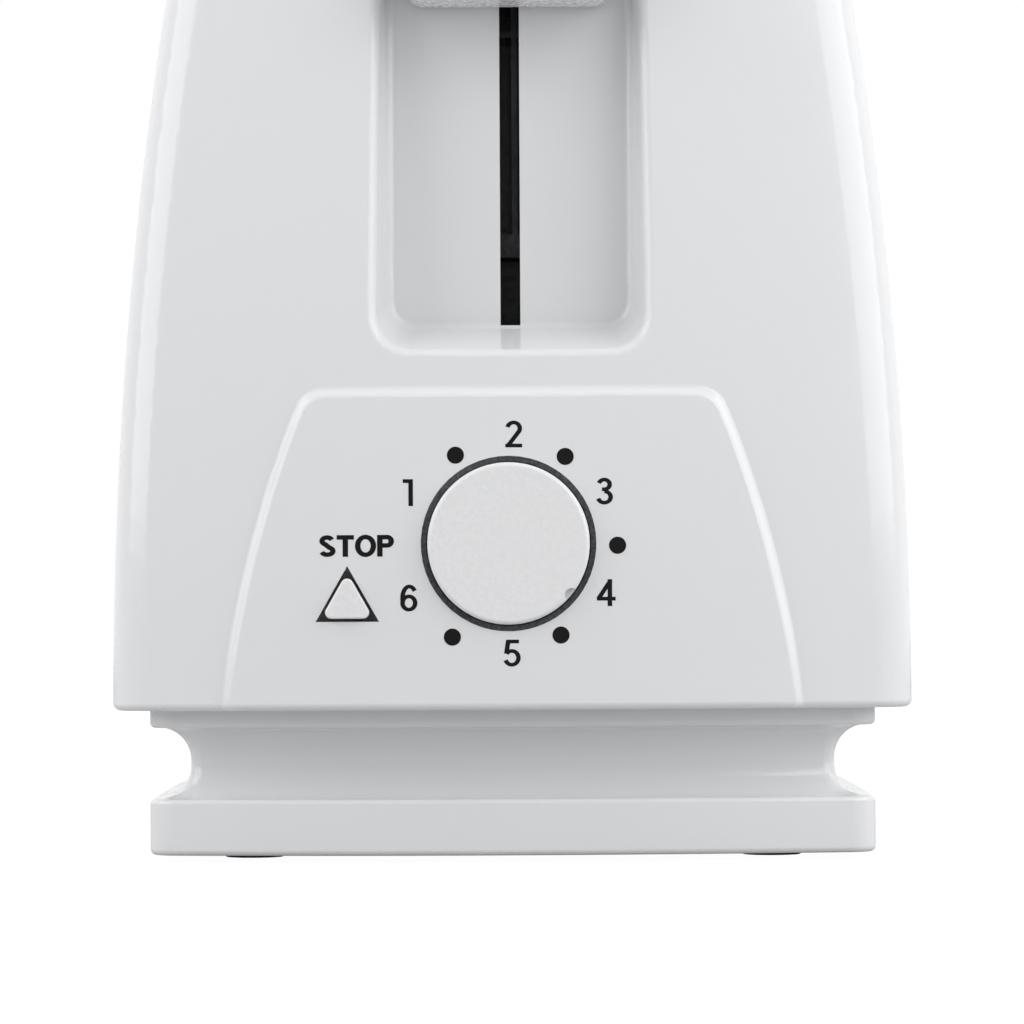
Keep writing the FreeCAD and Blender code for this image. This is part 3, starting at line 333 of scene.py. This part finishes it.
def metal(name, dark, light, rough=(0.25, 0.42), relief=0.004 * MM, lines=900.0):
    """Bare or plated metal with rolling lines and faint blotches."""
    material, tree, shader = new_material(name, light, Metallic=1.0)
    sheet = place_group(
        tree, "rolled_sheet", Line_Scale=lines, Rough_Low=rough[0], Rough_High=rough[1])
    tree.links.new(sheet.outputs["Roughness"], shader.inputs["Roughness"])
    tint(tree, shader, sheet.outputs["Blotch"], dark, light)
    bump(tree, shader, sheet.outputs["Height"], relief, 0.6)
    return material


def mottled(name, dark, light, scale, rough, relief):
    """Dull material whose colour wanders between two tones."""
    material, tree, shader = new_material(name, light, Roughness=rough)
    where = tree.nodes.new("ShaderNodeTexCoord").outputs["Object"]
    pattern = noise(tree, where, scale, 5.0)
    tint(tree, shader, remap(tree, pattern, 0.0, 1.0, 0.35, 0.65), dark, light)
    bump(tree, shader, pattern, relief)
    return material


def dress(node, material):
    """Give a CAD piece a better material."""
    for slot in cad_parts[node].material_slots:
        slot.material = material


# --- Mesh helpers ------------------------------------------------------------

def merged_mesh(node, name, crease):
    """The node's mesh as one skin, with hard edges only past the crease angle."""
    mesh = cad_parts[node].data.copy()
    mesh.name = name
    stale = mesh.attributes.get("custom_normal")
    if stale:
        mesh.attributes.remove(stale)
    skin = bmesh.new()
    skin.from_mesh(mesh)
    bmesh.ops.remove_doubles(skin, verts=skin.verts, dist=0.002 * MM)
    bmesh.ops.dissolve_degenerate(skin, edges=skin.edges, dist=0.0005 * MM)
    for face in skin.faces:
        face.smooth = True
    for edge in skin.edges:
        edge.smooth = edge.is_manifold and edge.calc_face_angle(0) < crease
    skin.to_mesh(mesh)
    skin.free()
    return mesh


def square_face_normals(mesh):
    """Set exact normals on the flat faces that are square to an axis."""
    normals = [tuple(corner.vector) for corner in mesh.corner_normals]
    for face in mesh.polygons:
        if max(abs(part) for part in face.normal) > math.cos(SQUARE_ANGLE):
            for loop in face.loop_indices:
                normals[loop] = tuple(face.normal)
    mesh.normals_split_custom_set(normals)


def smooth_piece(node, material, crease_deg=32, name=None):
    """Stand-in for a CAD node with even shading across its faces' joins."""
    name = name or node + "_skin"
    mesh = merged_mesh(node, name, math.radians(crease_deg))
    draft = bpy.data.objects.new(name + "_draft", mesh)
    bpy.context.scene.collection.objects.link(draft)
    weigh = draft.modifiers.new("even_normals", "WEIGHTED_NORMAL")
    weigh.keep_sharp = True
    weigh.weight = 80
    graph = bpy.context.evaluated_depsgraph_get()
    finished = bpy.data.meshes.new_from_object(draft.evaluated_get(graph), depsgraph=graph)
    bpy.data.objects.remove(draft)
    bpy.data.meshes.remove(mesh)
    finished.name = name
    square_face_normals(finished)
    return add_piece(name, finished, material)


def add_piece(name, mesh, material):
    mesh.materials.clear()
    mesh.materials.append(material)
    piece = bpy.data.objects.new(name, mesh)
    bpy.context.scene.collection.objects.link(piece)
    return piece


def stand_in(node, material, body=HOUSING, crease_deg=32):
    """Smooth stand-in that takes over from a CAD node."""
    piece = smooth_piece(node, material, crease_deg)
    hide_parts(node)
    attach(piece, body)
    return piece


def curve_normals(points, centre, reach, lean):
    """Distance from a leaning round wall, and the wall's outward normals."""
    flat = points[:, :2] - np.array(centre)
    out = np.linalg.norm(flat, axis=1)
    rise = points[:, 2] - RIM
    fall = np.sqrt(np.maximum(lean ** 2 - rise ** 2, 1e-9))
    normals = np.column_stack([flat / out[:, None], rise / fall])
    normals /= np.linalg.norm(normals, axis=1)[:, None]
    return np.abs(out - (reach - lean + fall)), normals


def shell_walls():
    """Centre, plan radius and lean radius of each wall, the panel's included."""
    end = LENGTH / 2 - END_BOW
    side = WIDTH / 2 - SIDE_BOW
    for sign in (-1, 1):
        yield (0, MIDDLE_Y + sign * end), END_BOW, END_LEAN
        yield (sign * side, MIDDLE_Y), SIDE_BOW, SIDE_LEAN
    yield (0, MIDDLE_Y - end), END_BOW + PANEL_RISE, END_LEAN + PANEL_RISE


def true_shell_normals(mesh):
    """Set exact normals wherever the shell follows its moulded curves."""
    count = len(mesh.loops)
    where = np.empty(len(mesh.vertices) * 3)
    mesh.vertices.foreach_get("co", where)
    index = np.empty(count, dtype=int)
    mesh.loops.foreach_get("vertex_index", index)
    points = where.reshape(-1, 3)[index]
    normals = np.array([tuple(corner.vector) for corner in mesh.corner_normals])
    faces = np.repeat(
        np.array([tuple(face.normal) for face in mesh.polygons]),
        [face.loop_total for face in mesh.polygons], axis=0)
    tests = [curve_normals(points, *wall) for wall in shell_walls()]
    top = points - np.array([0, MIDDLE_Y, CROWN - DOME])
    out = np.linalg.norm(top, axis=1)
    tests.append((np.abs(out - DOME), top / out[:, None]))
    for distance, exact in tests:
        facing = (faces * exact).sum(axis=1) > math.cos(LEAN_ANGLE)
        near = (distance < WALL_NEAR) & facing
        normals[near] = exact[near]
    mesh.normals_split_custom_set(normals.tolist())


def panel_y(x, z):
    """Face of the control panel at a point seen from the lever end."""
    reach = END_BOW + PANEL_RISE
    lean = END_LEAN + PANEL_RISE
    wall = reach - lean + math.sqrt(lean ** 2 - (z - RIM) ** 2)
    centre = MIDDLE_Y - (LENGTH / 2 - END_BOW)
    return centre - math.sqrt(wall ** 2 - x ** 2)


def printed(mesh):
    """Lay a flat drawing, X and Z with its thickness along Y, on the panel."""
    for vertex in mesh.vertices:
        x, y, z = vertex.co
        vertex.co.y = panel_y(x, z) + y


# --- Lettering -----------------------------------------------------------------

# Centre lines of the characters, on a body one unit tall that stands on zero.
# A stroke is a line of points or an arc: centre, radii, first and last angle.
def arc(x, z, across, up, start, end):
    """Points along an elliptical arc, angles in degrees."""
    turns = np.radians(np.linspace(start, end, 2 + int(abs(end - start) / 9)))
    return [(x + across * math.cos(turn), z + up * math.sin(turn)) for turn in turns]


def characters(stem, bar):
    """Width and strokes of each character, for the weights of its strokes."""
    side, foot = stem / 2, bar / 2
    head = 1 - foot
    low = 0.28
    return {
        "1": (0.38, [[(0, head), (0.38, head)], [(0.38 - side, 1), (0.38 - side, 0)]]),
        "2": (0.63, [
            arc(0.315, 0.71, 0.315 - side, 0.29 - foot, 168, -42) + [(0.11, 0.08)],
            [(0.0, foot), (0.63, foot)]]),
        "3": (0.62, [
            arc(0.30, 0.75, 0.285 - side, 0.25 - foot, 165, -90) + [(0.21, 0.5 + foot)],
            arc(0.30, low, 0.32 - side, low - foot, 90, -165)]),
        "4": (0.70, [
            [(0.515, 0.955), (0.065, 0.285)], [(0, 0.275), (0.70, 0.275)],
            [(0.57 - side, 1), (0.57 - side, 0)]]),
        "5": (0.63, [
            [(0.13, head), (0.57, head)], [(0.175, 0.99), (0.095, 0.475)],
            arc(0.30, 0.325, 0.33 - side, 0.325 - foot, 142, -160)]),
        "6": (0.66, [
            arc(0.34, 0.315, 0.32 - side, 0.315 - foot, 0, 360),
            arc(0.36, 0.5, 0.34 - side, 0.5 - foot, 38, 200)]),
        "S": (0.79, [
            arc(0.39, 0.735, 0.355 - side, 0.265 - foot, 18, 248)
            + arc(0.40, 0.27, 0.385 - side, 0.27 - foot, 68, -164)]),
        "T": (0.80, [[(0, head), (0.80, head)], [(0.40, 1), (0.40, 0)]]),
        "O": (0.98, [arc(0.49, 0.5, 0.49 - side, 0.515 - foot, 0, 360)]),
        "P": (0.78, [
            [(side, 1), (side, 0)],
            [(side, head)] + arc(0.46, 0.705, 0.32 - side, 0.295 - foot, 90, -90)
            + [(side, 0.41 + foot)]]),
    }


def stroke_plate(path, stem, bar):
    """Flat band along a path, as thick as its direction asks for."""
    closed = math.dist(path[0], path[-1]) < 1e-6
    points = np.array(path[:-1] if closed else path)
    ahead, behind = np.roll(points, -1, axis=0), np.roll(points, 1, axis=0)
    if not closed:
        ahead[-1], behind[0] = points[-1], points[0]
    along = ahead - behind
    along /= np.linalg.norm(along, axis=1)[:, None]
    half = np.hypot(bar * along[:, 0], stem * along[:, 1]) / 2
    offset = np.column_stack([-along[:, 1], along[:, 0]]) * half[:, None]
    plate = bmesh.new()
    edges = (points + offset, points - offset)
    rows = [[plate.verts.new((x, 0, z)) for x, z in edge] for edge in edges]
    count = len(points)
    for index in range(count if closed else count - 1):
        after = (index + 1) % count
        plate.faces.new((rows[0][index], rows[1][index], rows[1][after], rows[0][after]))
    return plate


def lettering(words, height, weight, thin=0.82, gap=0.045):
    """Strokes of a word centred on the origin, each a flat plate in XZ."""
    stem = weight / height
    shapes = characters(stem, stem * thin)
    total = sum(shapes[letter][0] for letter in words) + gap * (len(words) - 1)
    start = -total / 2
    for letter in words:
        wide, strokes = shapes[letter]
        for path in strokes:
            plate = stroke_plate([(x + start, z - 0.5) for x, z in path], stem, stem * thin)
            bmesh.ops.scale(plate, vec=(height,) * 3, verts=plate.verts)
            yield plate
        start += wide + gap


# --- Shape of each piece ------------------------------------------------------

LABEL_GAP, LABEL_SHIFT = 0.6 * MM, 1.8 * MM     # label above and right of the button

# Millimetres, X and Z, that the printing strays from even steps round the dial
DIGIT_DRIFT = ((-1.0, -0.7), (1.1, -0.1), (0.2, -0.6), (0.4, 1.05), (0.6, 0.1), (-0.95, 0.2))
DOT_DRIFT = ((0.05, -0.6), (0.8, -0.95), (0.6, -0.45), (-0.2, 0.0), (-0.7, -0.3))


def make_shell(settings):
    white = plastic("body_gloss_white", settings.body, settings.gloss, settings.ripple)
    shell = stand_in("outer_shell", white, crease_deg=28)
    true_shell_normals(shell.data)
    stand_in("base_housing", white)
    cover = plastic("cover_white", settings.body, 0.42, settings.ripple * 2, 400.0, 0.6)
    dress("bottom_cover", cover)
    stand_in("crumb_tray_grip", white, "tray")


def make_controls(settings):
    satin = plastic(
        "control_satin_white", settings.controls, 0.26, settings.control_ripple, 900.0, 0.6)
    stand_in("lever_knob", satin, "carriage")
    stand_in("browning_dial", satin, "dial")
    stand_in("stop_button", satin, "button")
    dress("dial_spindle", satin)


def scale_places(settings):
    """Digits' places round the dial, clockwise from the first at the upper left."""
    step = math.tau / settings.steps
    for index in range(settings.steps):
        angle = math.radians(150) - index * step
        x = DIAL_X + settings.digit_ring * math.cos(angle)
        yield index, x, DIAL_Z + settings.digit_ring * math.sin(angle)


def extruded(plate, front, back):
    """Close a flat drawing into a thin solid between two depths."""
    for vertex in plate.verts:
        vertex.co.y = front
    walls = bmesh.ops.extrude_face_region(plate, geom=list(plate.faces), use_keep_orig=True)
    for item in walls["geom"]:
        if isinstance(item, bmesh.types.BMVert):
            item.co.y = back
    bmesh.ops.recalc_face_normals(plate, faces=plate.faces)


def print_draft(plates):
    """Object holding thin solids of (plate, x, z), still in a flat plane."""
    whole = bmesh.new()
    for plate, x, z in plates:
        extruded(plate, -0.03 * MM, 0.05 * MM)
        bmesh.ops.translate(plate, vec=(x, 0, z), verts=plate.verts)
        part = bpy.data.meshes.new("part")
        plate.to_mesh(part)
        plate.free()
        whole.from_mesh(part)
        bpy.data.meshes.remove(part)
    mesh = bpy.data.meshes.new("print_draft")
    whole.to_mesh(mesh)
    whole.free()
    draft = bpy.data.objects.new("print_draft", mesh)
    bpy.context.scene.collection.objects.link(draft)
    return draft


def ink_piece(name, plates, ink):
    """Melt strokes into one printed piece and lay it on the panel."""
    plates = list(plates)
    draft, last = print_draft(plates[:-1]), print_draft(plates[-1:])
    melt = draft.modifiers.new("melt", "BOOLEAN")
    melt.operation, melt.solver, melt.use_self, melt.object = "UNION", "EXACT", True, last
    graph = bpy.context.evaluated_depsgraph_get()
    mesh = bpy.data.meshes.new_from_object(draft.evaluated_get(graph), depsgraph=graph)
    bpy.data.objects.remove(draft)
    bpy.data.objects.remove(last)
    mesh.name = name
    printed(mesh)
    piece = add_piece(name, mesh, ink)
    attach(piece, HOUSING)
    return piece


def dot_tree():
    """Geometry Nodes: discs in equal steps round a ring, one place left out."""
    tree = bpy.data.node_groups.new("dot_ring", "GeometryNodeTree")
    face = tree.interface
    face.new_socket("Geometry", in_out="OUTPUT", socket_type="NodeSocketGeometry")
    for label, kind in (("Count", "NodeSocketInt"), ("Ring", "NodeSocketFloat"),
                        ("Dot Radius", "NodeSocketFloat"), ("Start", "NodeSocketFloat"),
                        ("Step", "NodeSocketFloat"), ("Thickness", "NodeSocketFloat"),
                        ("Ink", "NodeSocketMaterial")):
        face.new_socket(label, in_out="INPUT", socket_type=kind)
    nodes, links = tree.nodes, tree.links
    entry, leave = nodes.new("NodeGroupInput"), nodes.new("NodeGroupOutput")
    points = nodes.new("GeometryNodePoints")
    index = nodes.new("GeometryNodeInputIndex")
    turn = nodes.new("ShaderNodeMath")
    turn.operation = "MULTIPLY_ADD"
    cosine, sine = nodes.new("ShaderNodeMath"), nodes.new("ShaderNodeMath")
    cosine.operation, sine.operation = "COSINE", "SINE"
    place = nodes.new("ShaderNodeCombineXYZ")
    spread = nodes.new("ShaderNodeVectorMath")
    spread.operation = "SCALE"
    disc = nodes.new("GeometryNodeMeshCylinder")
    disc.inputs["Vertices"].default_value = 40
    upright = nodes.new("GeometryNodeTransform")
    upright.inputs["Rotation"].default_value = (math.pi / 2, 0, 0)
    copies = nodes.new("GeometryNodeInstanceOnPoints")
    real = nodes.new("GeometryNodeRealizeInstances")
    coat = nodes.new("GeometryNodeSetMaterial")
    for source, target in (
            (entry.outputs["Count"], points.inputs["Count"]),
            (index.outputs["Index"], turn.inputs[0]),
            (entry.outputs["Step"], turn.inputs[1]),
            (entry.outputs["Start"], turn.inputs[2]),
            (turn.outputs[0], cosine.inputs[0]),
            (turn.outputs[0], sine.inputs[0]),
            (cosine.outputs[0], place.inputs["X"]),
            (sine.outputs[0], place.inputs["Z"]),
            (place.outputs[0], spread.inputs[0]),
            (entry.outputs["Ring"], spread.inputs["Scale"]),
            (spread.outputs["Vector"], points.inputs["Position"]),
            (entry.outputs["Dot Radius"], disc.inputs["Radius"]),
            (entry.outputs["Thickness"], disc.inputs["Depth"]),
            (disc.outputs["Mesh"], upright.inputs["Geometry"]),
            (points.outputs["Points"], copies.inputs["Points"]),
            (upright.outputs["Geometry"], copies.inputs["Instance"]),
            (copies.outputs["Instances"], real.inputs["Geometry"]),
            (real.outputs["Geometry"], coat.inputs["Geometry"]),
            (entry.outputs["Ink"], coat.inputs["Material"]),
            (coat.outputs["Geometry"], leave.inputs["Geometry"])):
        links.new(source, target)
    return tree


def from_nodes(name, tree, values, material):
    """Run a Geometry Nodes tree with its inputs set, and keep a plain mesh."""
    draft = bpy.data.objects.new(name + "_draft", bpy.data.meshes.new(name + "_draft"))
    bpy.context.scene.collection.objects.link(draft)
    modifier = draft.modifiers.new("shape", "NODES")
    modifier.node_group = tree
    for item in tree.interface.items_tree:
        if item.in_out == "INPUT" and item.name in values:
            modifier[item.identifier] = values[item.name]
    graph = bpy.context.evaluated_depsgraph_get()
    mesh = bpy.data.meshes.new_from_object(draft.evaluated_get(graph), depsgraph=graph)
    bpy.data.objects.remove(draft)
    mesh.name = name
    return add_piece(name, mesh, material)


def make_print(settings):
    ink, tree, shader = new_material("panel_ink", settings.ink, IOR=1.3)
    where = tree.nodes.new("ShaderNodeTexCoord").outputs["Object"]
    pattern = noise(tree, where, 2500.0, 3.0)
    tree.links.new(remap(tree, pattern, 0.36, 0.5, 0.3, 0.7), shader.inputs["Roughness"])
    digits = []
    for index, x, z in scale_places(settings):
        strokes = lettering(str(index + 1), settings.digit_height, settings.digit_weight)
        drift_x, drift_z = DIGIT_DRIFT[index % len(DIGIT_DRIFT)]
        digits += [(plate, x + drift_x * MM, z + drift_z * MM) for plate in strokes]
    ink_piece("scale_digits", digits, ink)
    word = lettering(settings.label, settings.label_height, settings.label_weight)
    label_z = BUTTON_HIGH.z + LABEL_GAP + settings.label_height / 2
    ink_piece("button_label", [(plate, BUTTON_X + LABEL_SHIFT, label_z) for plate in word], ink)
    step = -math.tau / settings.steps
    dots = from_nodes("scale_dots", dot_tree(), {
        "Count": settings.steps - 1, "Ring": settings.dot_ring,
        "Dot Radius": settings.dot_size / 2, "Start": math.radians(120), "Step": step,
        "Thickness": 0.08 * MM, "Ink": ink}, ink)
    each = len(dots.data.vertices) // (settings.steps - 1)
    for vertex in dots.data.vertices:
        drift_x, drift_z = DOT_DRIFT[vertex.index // each % len(DOT_DRIFT)]
        vertex.co.x += DIAL_X + drift_x * MM
        vertex.co.z += DIAL_Z + drift_z * MM
    printed(dots.data)
    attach(dots, HOUSING)


def make_metalwork():
    plated = metal("plated_sheet", (0.42, 0.42, 0.43), (0.62, 0.62, 0.63))
    bright = metal("bright_wire", (0.5, 0.47, 0.43), (0.72, 0.71, 0.69), (0.16, 0.3))
    # Dark steel for the carriage bracket, latch keeper, magnet core and spring: its darkness is painted
    # shade, so the carriage seen through the lever slot looks dark
    dark = metal("slot_shade_steel", (0.1, 0.1, 0.11), (0.22, 0.22, 0.23), (0.3, 0.5))
    screws = metal("screw_steel", (0.35, 0.35, 0.36), (0.55, 0.55, 0.56), (0.2, 0.35))
    for node in ("chassis_front_plate", "chassis_rear_plate", "chassis_top_plate",
                 "side_reflector_left", "side_reflector_right", "crumb_tray"):
        dress(node, plated)
    for node in ("bread_guide_left_outer", "bread_guide_left_inner", "bread_guide_right_inner",
                 "bread_guide_right_outer", "guide_rod", "bread_rack_left", "bread_rack_right"):
        dress(node, bright)
    for node in ("carriage_bracket", "latch_keeper", "magnet_core", "lift_spring"):
        dress(node, dark)
    for node in ("base_screws", "chassis_screws", "board_screws"):
        dress(node, screws)


def make_heating():
    mica = mottled("mica_sheet", (0.34, 0.27, 0.17), (0.55, 0.47, 0.34), 180.0, 0.42, 0.02 * MM)
    alloy = metal("heater_alloy", (0.16, 0.13, 0.12), (0.34, 0.3, 0.27), (0.35, 0.55))
    for side in ("left", "centre", "right"):
        dress("heater_card_" + side, mica)
        dress("heater_ribbon_" + side, alloy)


def make_electrics():
    board = mottled(
        "board_green", (0.02, 0.09, 0.035), (0.04, 0.16, 0.06), 300.0, 0.32, 0.004 * MM)
    black = plastic("black_moulding", (0.02, 0.02, 0.022), 0.45, 0.004 * MM, 400.0, 0.6)
    copper = metal("enamelled_copper", (0.3, 0.09, 0.03), (0.55, 0.2, 0.08), (0.2, 0.35))
    dress("control_board", board)
    for node in ("board_components", "potentiometer_body", "stop_switch", "switch_plunger",
                 "mains_switch", "terminal_block"):
        dress(node, black)
    dress("magnet_coil", copper)


def make_rubber():
    """Dull soft pieces: the feet, the bushing and the seal round the dial."""
    rubber = mottled(
        "black_rubber", (0.012, 0.012, 0.012), (0.03, 0.03, 0.03), 900.0, 0.75, 0.02 * MM)
    grey = mottled("grey_bushing", (0.05, 0.05, 0.052), (0.09, 0.09, 0.092), 900.0, 0.6, 0.02 * MM)
    dress("rubber_feet", rubber)
    dress("cord_bushing", grey)
    felt = mottled(
        "grey_felt", (0.094, 0.1, 0.102), (0.186, 0.192, 0.194), 1400.0, 0.85, 0.05 * MM)
    dress("dial_seal", felt)


def soft_light(name, bearing, size, power):
    """Softbox aimed at the toaster; bearing is turned from the lever's side to the right."""
    light = bpy.data.lights.new(name, "AREA")
    light.shape = "RECTANGLE"
    light.size, light.size_y = size
    light.energy = power
    lamp = bpy.data.objects.new(name, light)
    turn = math.radians(bearing)
    place = Vector((LAMP_DISTANCE * math.sin(turn), -LAMP_DISTANCE * math.cos(turn), LAMP_HEIGHT))
    lamp.location = place
    aim = Vector((0, PANEL_END, CROWN / 2)) - place
    lamp.rotation_euler = aim.to_track_quat("-Z", "Y").to_euler()
    bpy.context.scene.collection.objects.link(lamp)


def make_world(settings):
    """White surround, dimmer on the lever's side and brighter overhead."""
    world = bpy.data.worlds.new("surround")
    world.use_nodes = True
    tree = world.node_tree
    back = tree.nodes["Background"]
    where = tree.nodes.new("ShaderNodeTexCoord").outputs["Generated"]
    parts = tree.nodes.new("ShaderNodeSeparateXYZ")
    tree.links.new(where, parts.inputs["Vector"])
    around = remap(tree, parts.outputs["Y"], settings.front, settings.behind, -0.2, 0.6)
    above = remap(tree, parts.outputs["Z"], 0.0, settings.overhead, 0.15, 1.0)
    total = tree.nodes.new("ShaderNodeMath")
    tree.links.new(around, total.inputs[0])
    tree.links.new(above, total.inputs[1])
    tree.links.new(total.outputs[0], back.inputs["Strength"])
    back.inputs["Color"].default_value = (1, 1, 1, 1)
    bpy.context.scene.world = world


def make_floor():
    """Pale floor that looks evenly lit, and throws back only part of the light."""
    plate = bmesh.new()
    bmesh.ops.create_circle(plate, cap_ends=True, segments=96, radius=9.0)
    mesh = bpy.data.meshes.new("floor")
    plate.to_mesh(mesh)
    plate.free()
    pale, tree, shader = new_material("pale_floor", (0.47, 0.47, 0.475), Roughness=0.9)
    glow = tree.nodes.new("ShaderNodeEmission")
    glow.inputs["Strength"].default_value = FLOOR_GLOW
    seen = tree.nodes.new("ShaderNodeLightPath").outputs["Is Camera Ray"]
    mix = tree.nodes.new("ShaderNodeMixShader")
    tree.links.new(remap(tree, seen, 0.0, FLOOR_SHARE), mix.inputs["Fac"])
    tree.links.new(shader.outputs["BSDF"], mix.inputs[1])
    tree.links.new(glow.outputs["Emission"], mix.inputs[2])
    tree.links.new(mix.outputs["Shader"], tree.nodes["Material Output"].inputs["Surface"])
    floor = add_piece("floor", mesh, pale)
    floor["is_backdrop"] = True


def make_camera(settings):
    scene = bpy.context.scene
    lens = bpy.data.cameras.new("camera")
    camera = bpy.data.objects.new("camera", lens)
    scene.collection.objects.link(camera)
    scene.camera = camera
    end = PANEL_END + PANEL_RISE
    camera.location = (0, end - settings.distance, settings.eye)
    rise = math.atan2(settings.aim - settings.eye, settings.distance)
    camera.rotation_euler = (math.pi / 2 + rise, settings.roll, 0)
    lens.sensor_width = 36
    lens.lens = 36 * settings.distance / settings.span
    lens.clip_start, lens.clip_end = 0.01, 30


def make_stage(settings):
    scene = bpy.context.scene
    scene.view_settings.view_transform = "Standard"
    make_world(settings)
    make_floor()
    soft_light("right_softbox", 56, (1.48, 0.9), settings.right_light)
    soft_light("left_softbox", -62, (1.07, 0.9), settings.left_light)
    make_camera(settings)


# --- Operators ----------------------------------------------------------------

class TOASTER_OT_shell(bpy.types.Operator):
    """Finish the body, the base, the cover and the tray's grip"""

    bl_idname = "toaster.shell"
    bl_label = "Body and base"

    def execute(self, context):
        make_shell(context.scene.toaster_plastic)
        return {"FINISHED"}


class TOASTER_OT_controls(bpy.types.Operator):
    """Finish the lever, the dial and the stop button"""

    bl_idname = "toaster.controls"
    bl_label = "Controls"

    def execute(self, context):
        make_controls(context.scene.toaster_plastic)
        return {"FINISHED"}


class TOASTER_OT_print(bpy.types.Operator):
    """Print the scale and the button's label on the panel"""

    bl_idname = "toaster.print"
    bl_label = "Printing"

    def execute(self, context):
        make_print(context.scene.toaster_print)
        return {"FINISHED"}


class TOASTER_OT_metalwork(bpy.types.Operator):
    """Finish the chassis, carriage, racks, guides and screws"""

    bl_idname = "toaster.metalwork"
    bl_label = "Metalwork"

    def execute(self, context):
        make_metalwork()
        return {"FINISHED"}


class TOASTER_OT_heating(bpy.types.Operator):
    """Finish the mica cards and the heater ribbons"""

    bl_idname = "toaster.heating"
    bl_label = "Heating"

    def execute(self, context):
        make_heating()
        return {"FINISHED"}


class TOASTER_OT_electrics(bpy.types.Operator):
    """Finish the control board, the switches and the magnet's coil"""

    bl_idname = "toaster.electrics"
    bl_label = "Electrics"

    def execute(self, context):
        make_electrics()
        return {"FINISHED"}


class TOASTER_OT_rubber(bpy.types.Operator):
    """Finish the feet, the cord bushing and the dial's seal"""

    bl_idname = "toaster.rubber"
    bl_label = "Feet and bushing"

    def execute(self, context):
        make_rubber()
        return {"FINISHED"}


class TOASTER_OT_stage(bpy.types.Operator):
    """Set up the floor, the lights and the camera"""

    bl_idname = "toaster.stage"
    bl_label = "Stage"

    def execute(self, context):
        make_stage(context.scene.toaster_stage)
        return {"FINISHED"}


class TOASTER_PT_panel(bpy.types.Panel):
    """Lists the toaster's pieces in the sidebar"""

    bl_idname = "TOASTER_PT_panel"
    bl_label = "Toaster"
    bl_space_type = "VIEW_3D"
    bl_region_type = "UI"
    bl_category = "Toaster"

    def draw(self, context):
        for operator in OPERATORS:
            self.layout.operator(operator.bl_idname)
        for name in SETTINGS:
            group = getattr(context.scene, name)
            for key in group.bl_rna.properties.keys():
                if key not in ("rna_type", "name"):
                    self.layout.prop(group, key)


OPERATORS = (
    TOASTER_OT_shell,
    TOASTER_OT_controls,
    TOASTER_OT_print,
    TOASTER_OT_metalwork,
    TOASTER_OT_heating,
    TOASTER_OT_electrics,
    TOASTER_OT_rubber,
    TOASTER_OT_stage,
)
SETTINGS = {
    "toaster_plastic": ToasterPlastic,
    "toaster_print": ToasterPrint,
    "toaster_stage": ToasterStage,
}


def register():
    for item in (*SETTINGS.values(), *OPERATORS, TOASTER_PT_panel):
        bpy.utils.register_class(item)
    for name, kind in SETTINGS.items():
        setattr(bpy.types.Scene, name, PointerProperty(type=kind))


def unregister():
    for name in SETTINGS:
        delattr(bpy.types.Scene, name)
    for item in reversed((*SETTINGS.values(), *OPERATORS, TOASTER_PT_panel)):
        bpy.utils.unregister_class(item)


def main():
    register()
    for operator in OPERATORS:
        area, name = operator.bl_idname.split(".")
        getattr(getattr(bpy.ops, area), name)()
    boxes = {"cad": CAD_BOX, "visual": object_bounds()}
    {name: [list(corner) for corner in box] for name, box in boxes.items()}


if __name__ == "__main__":
    main()
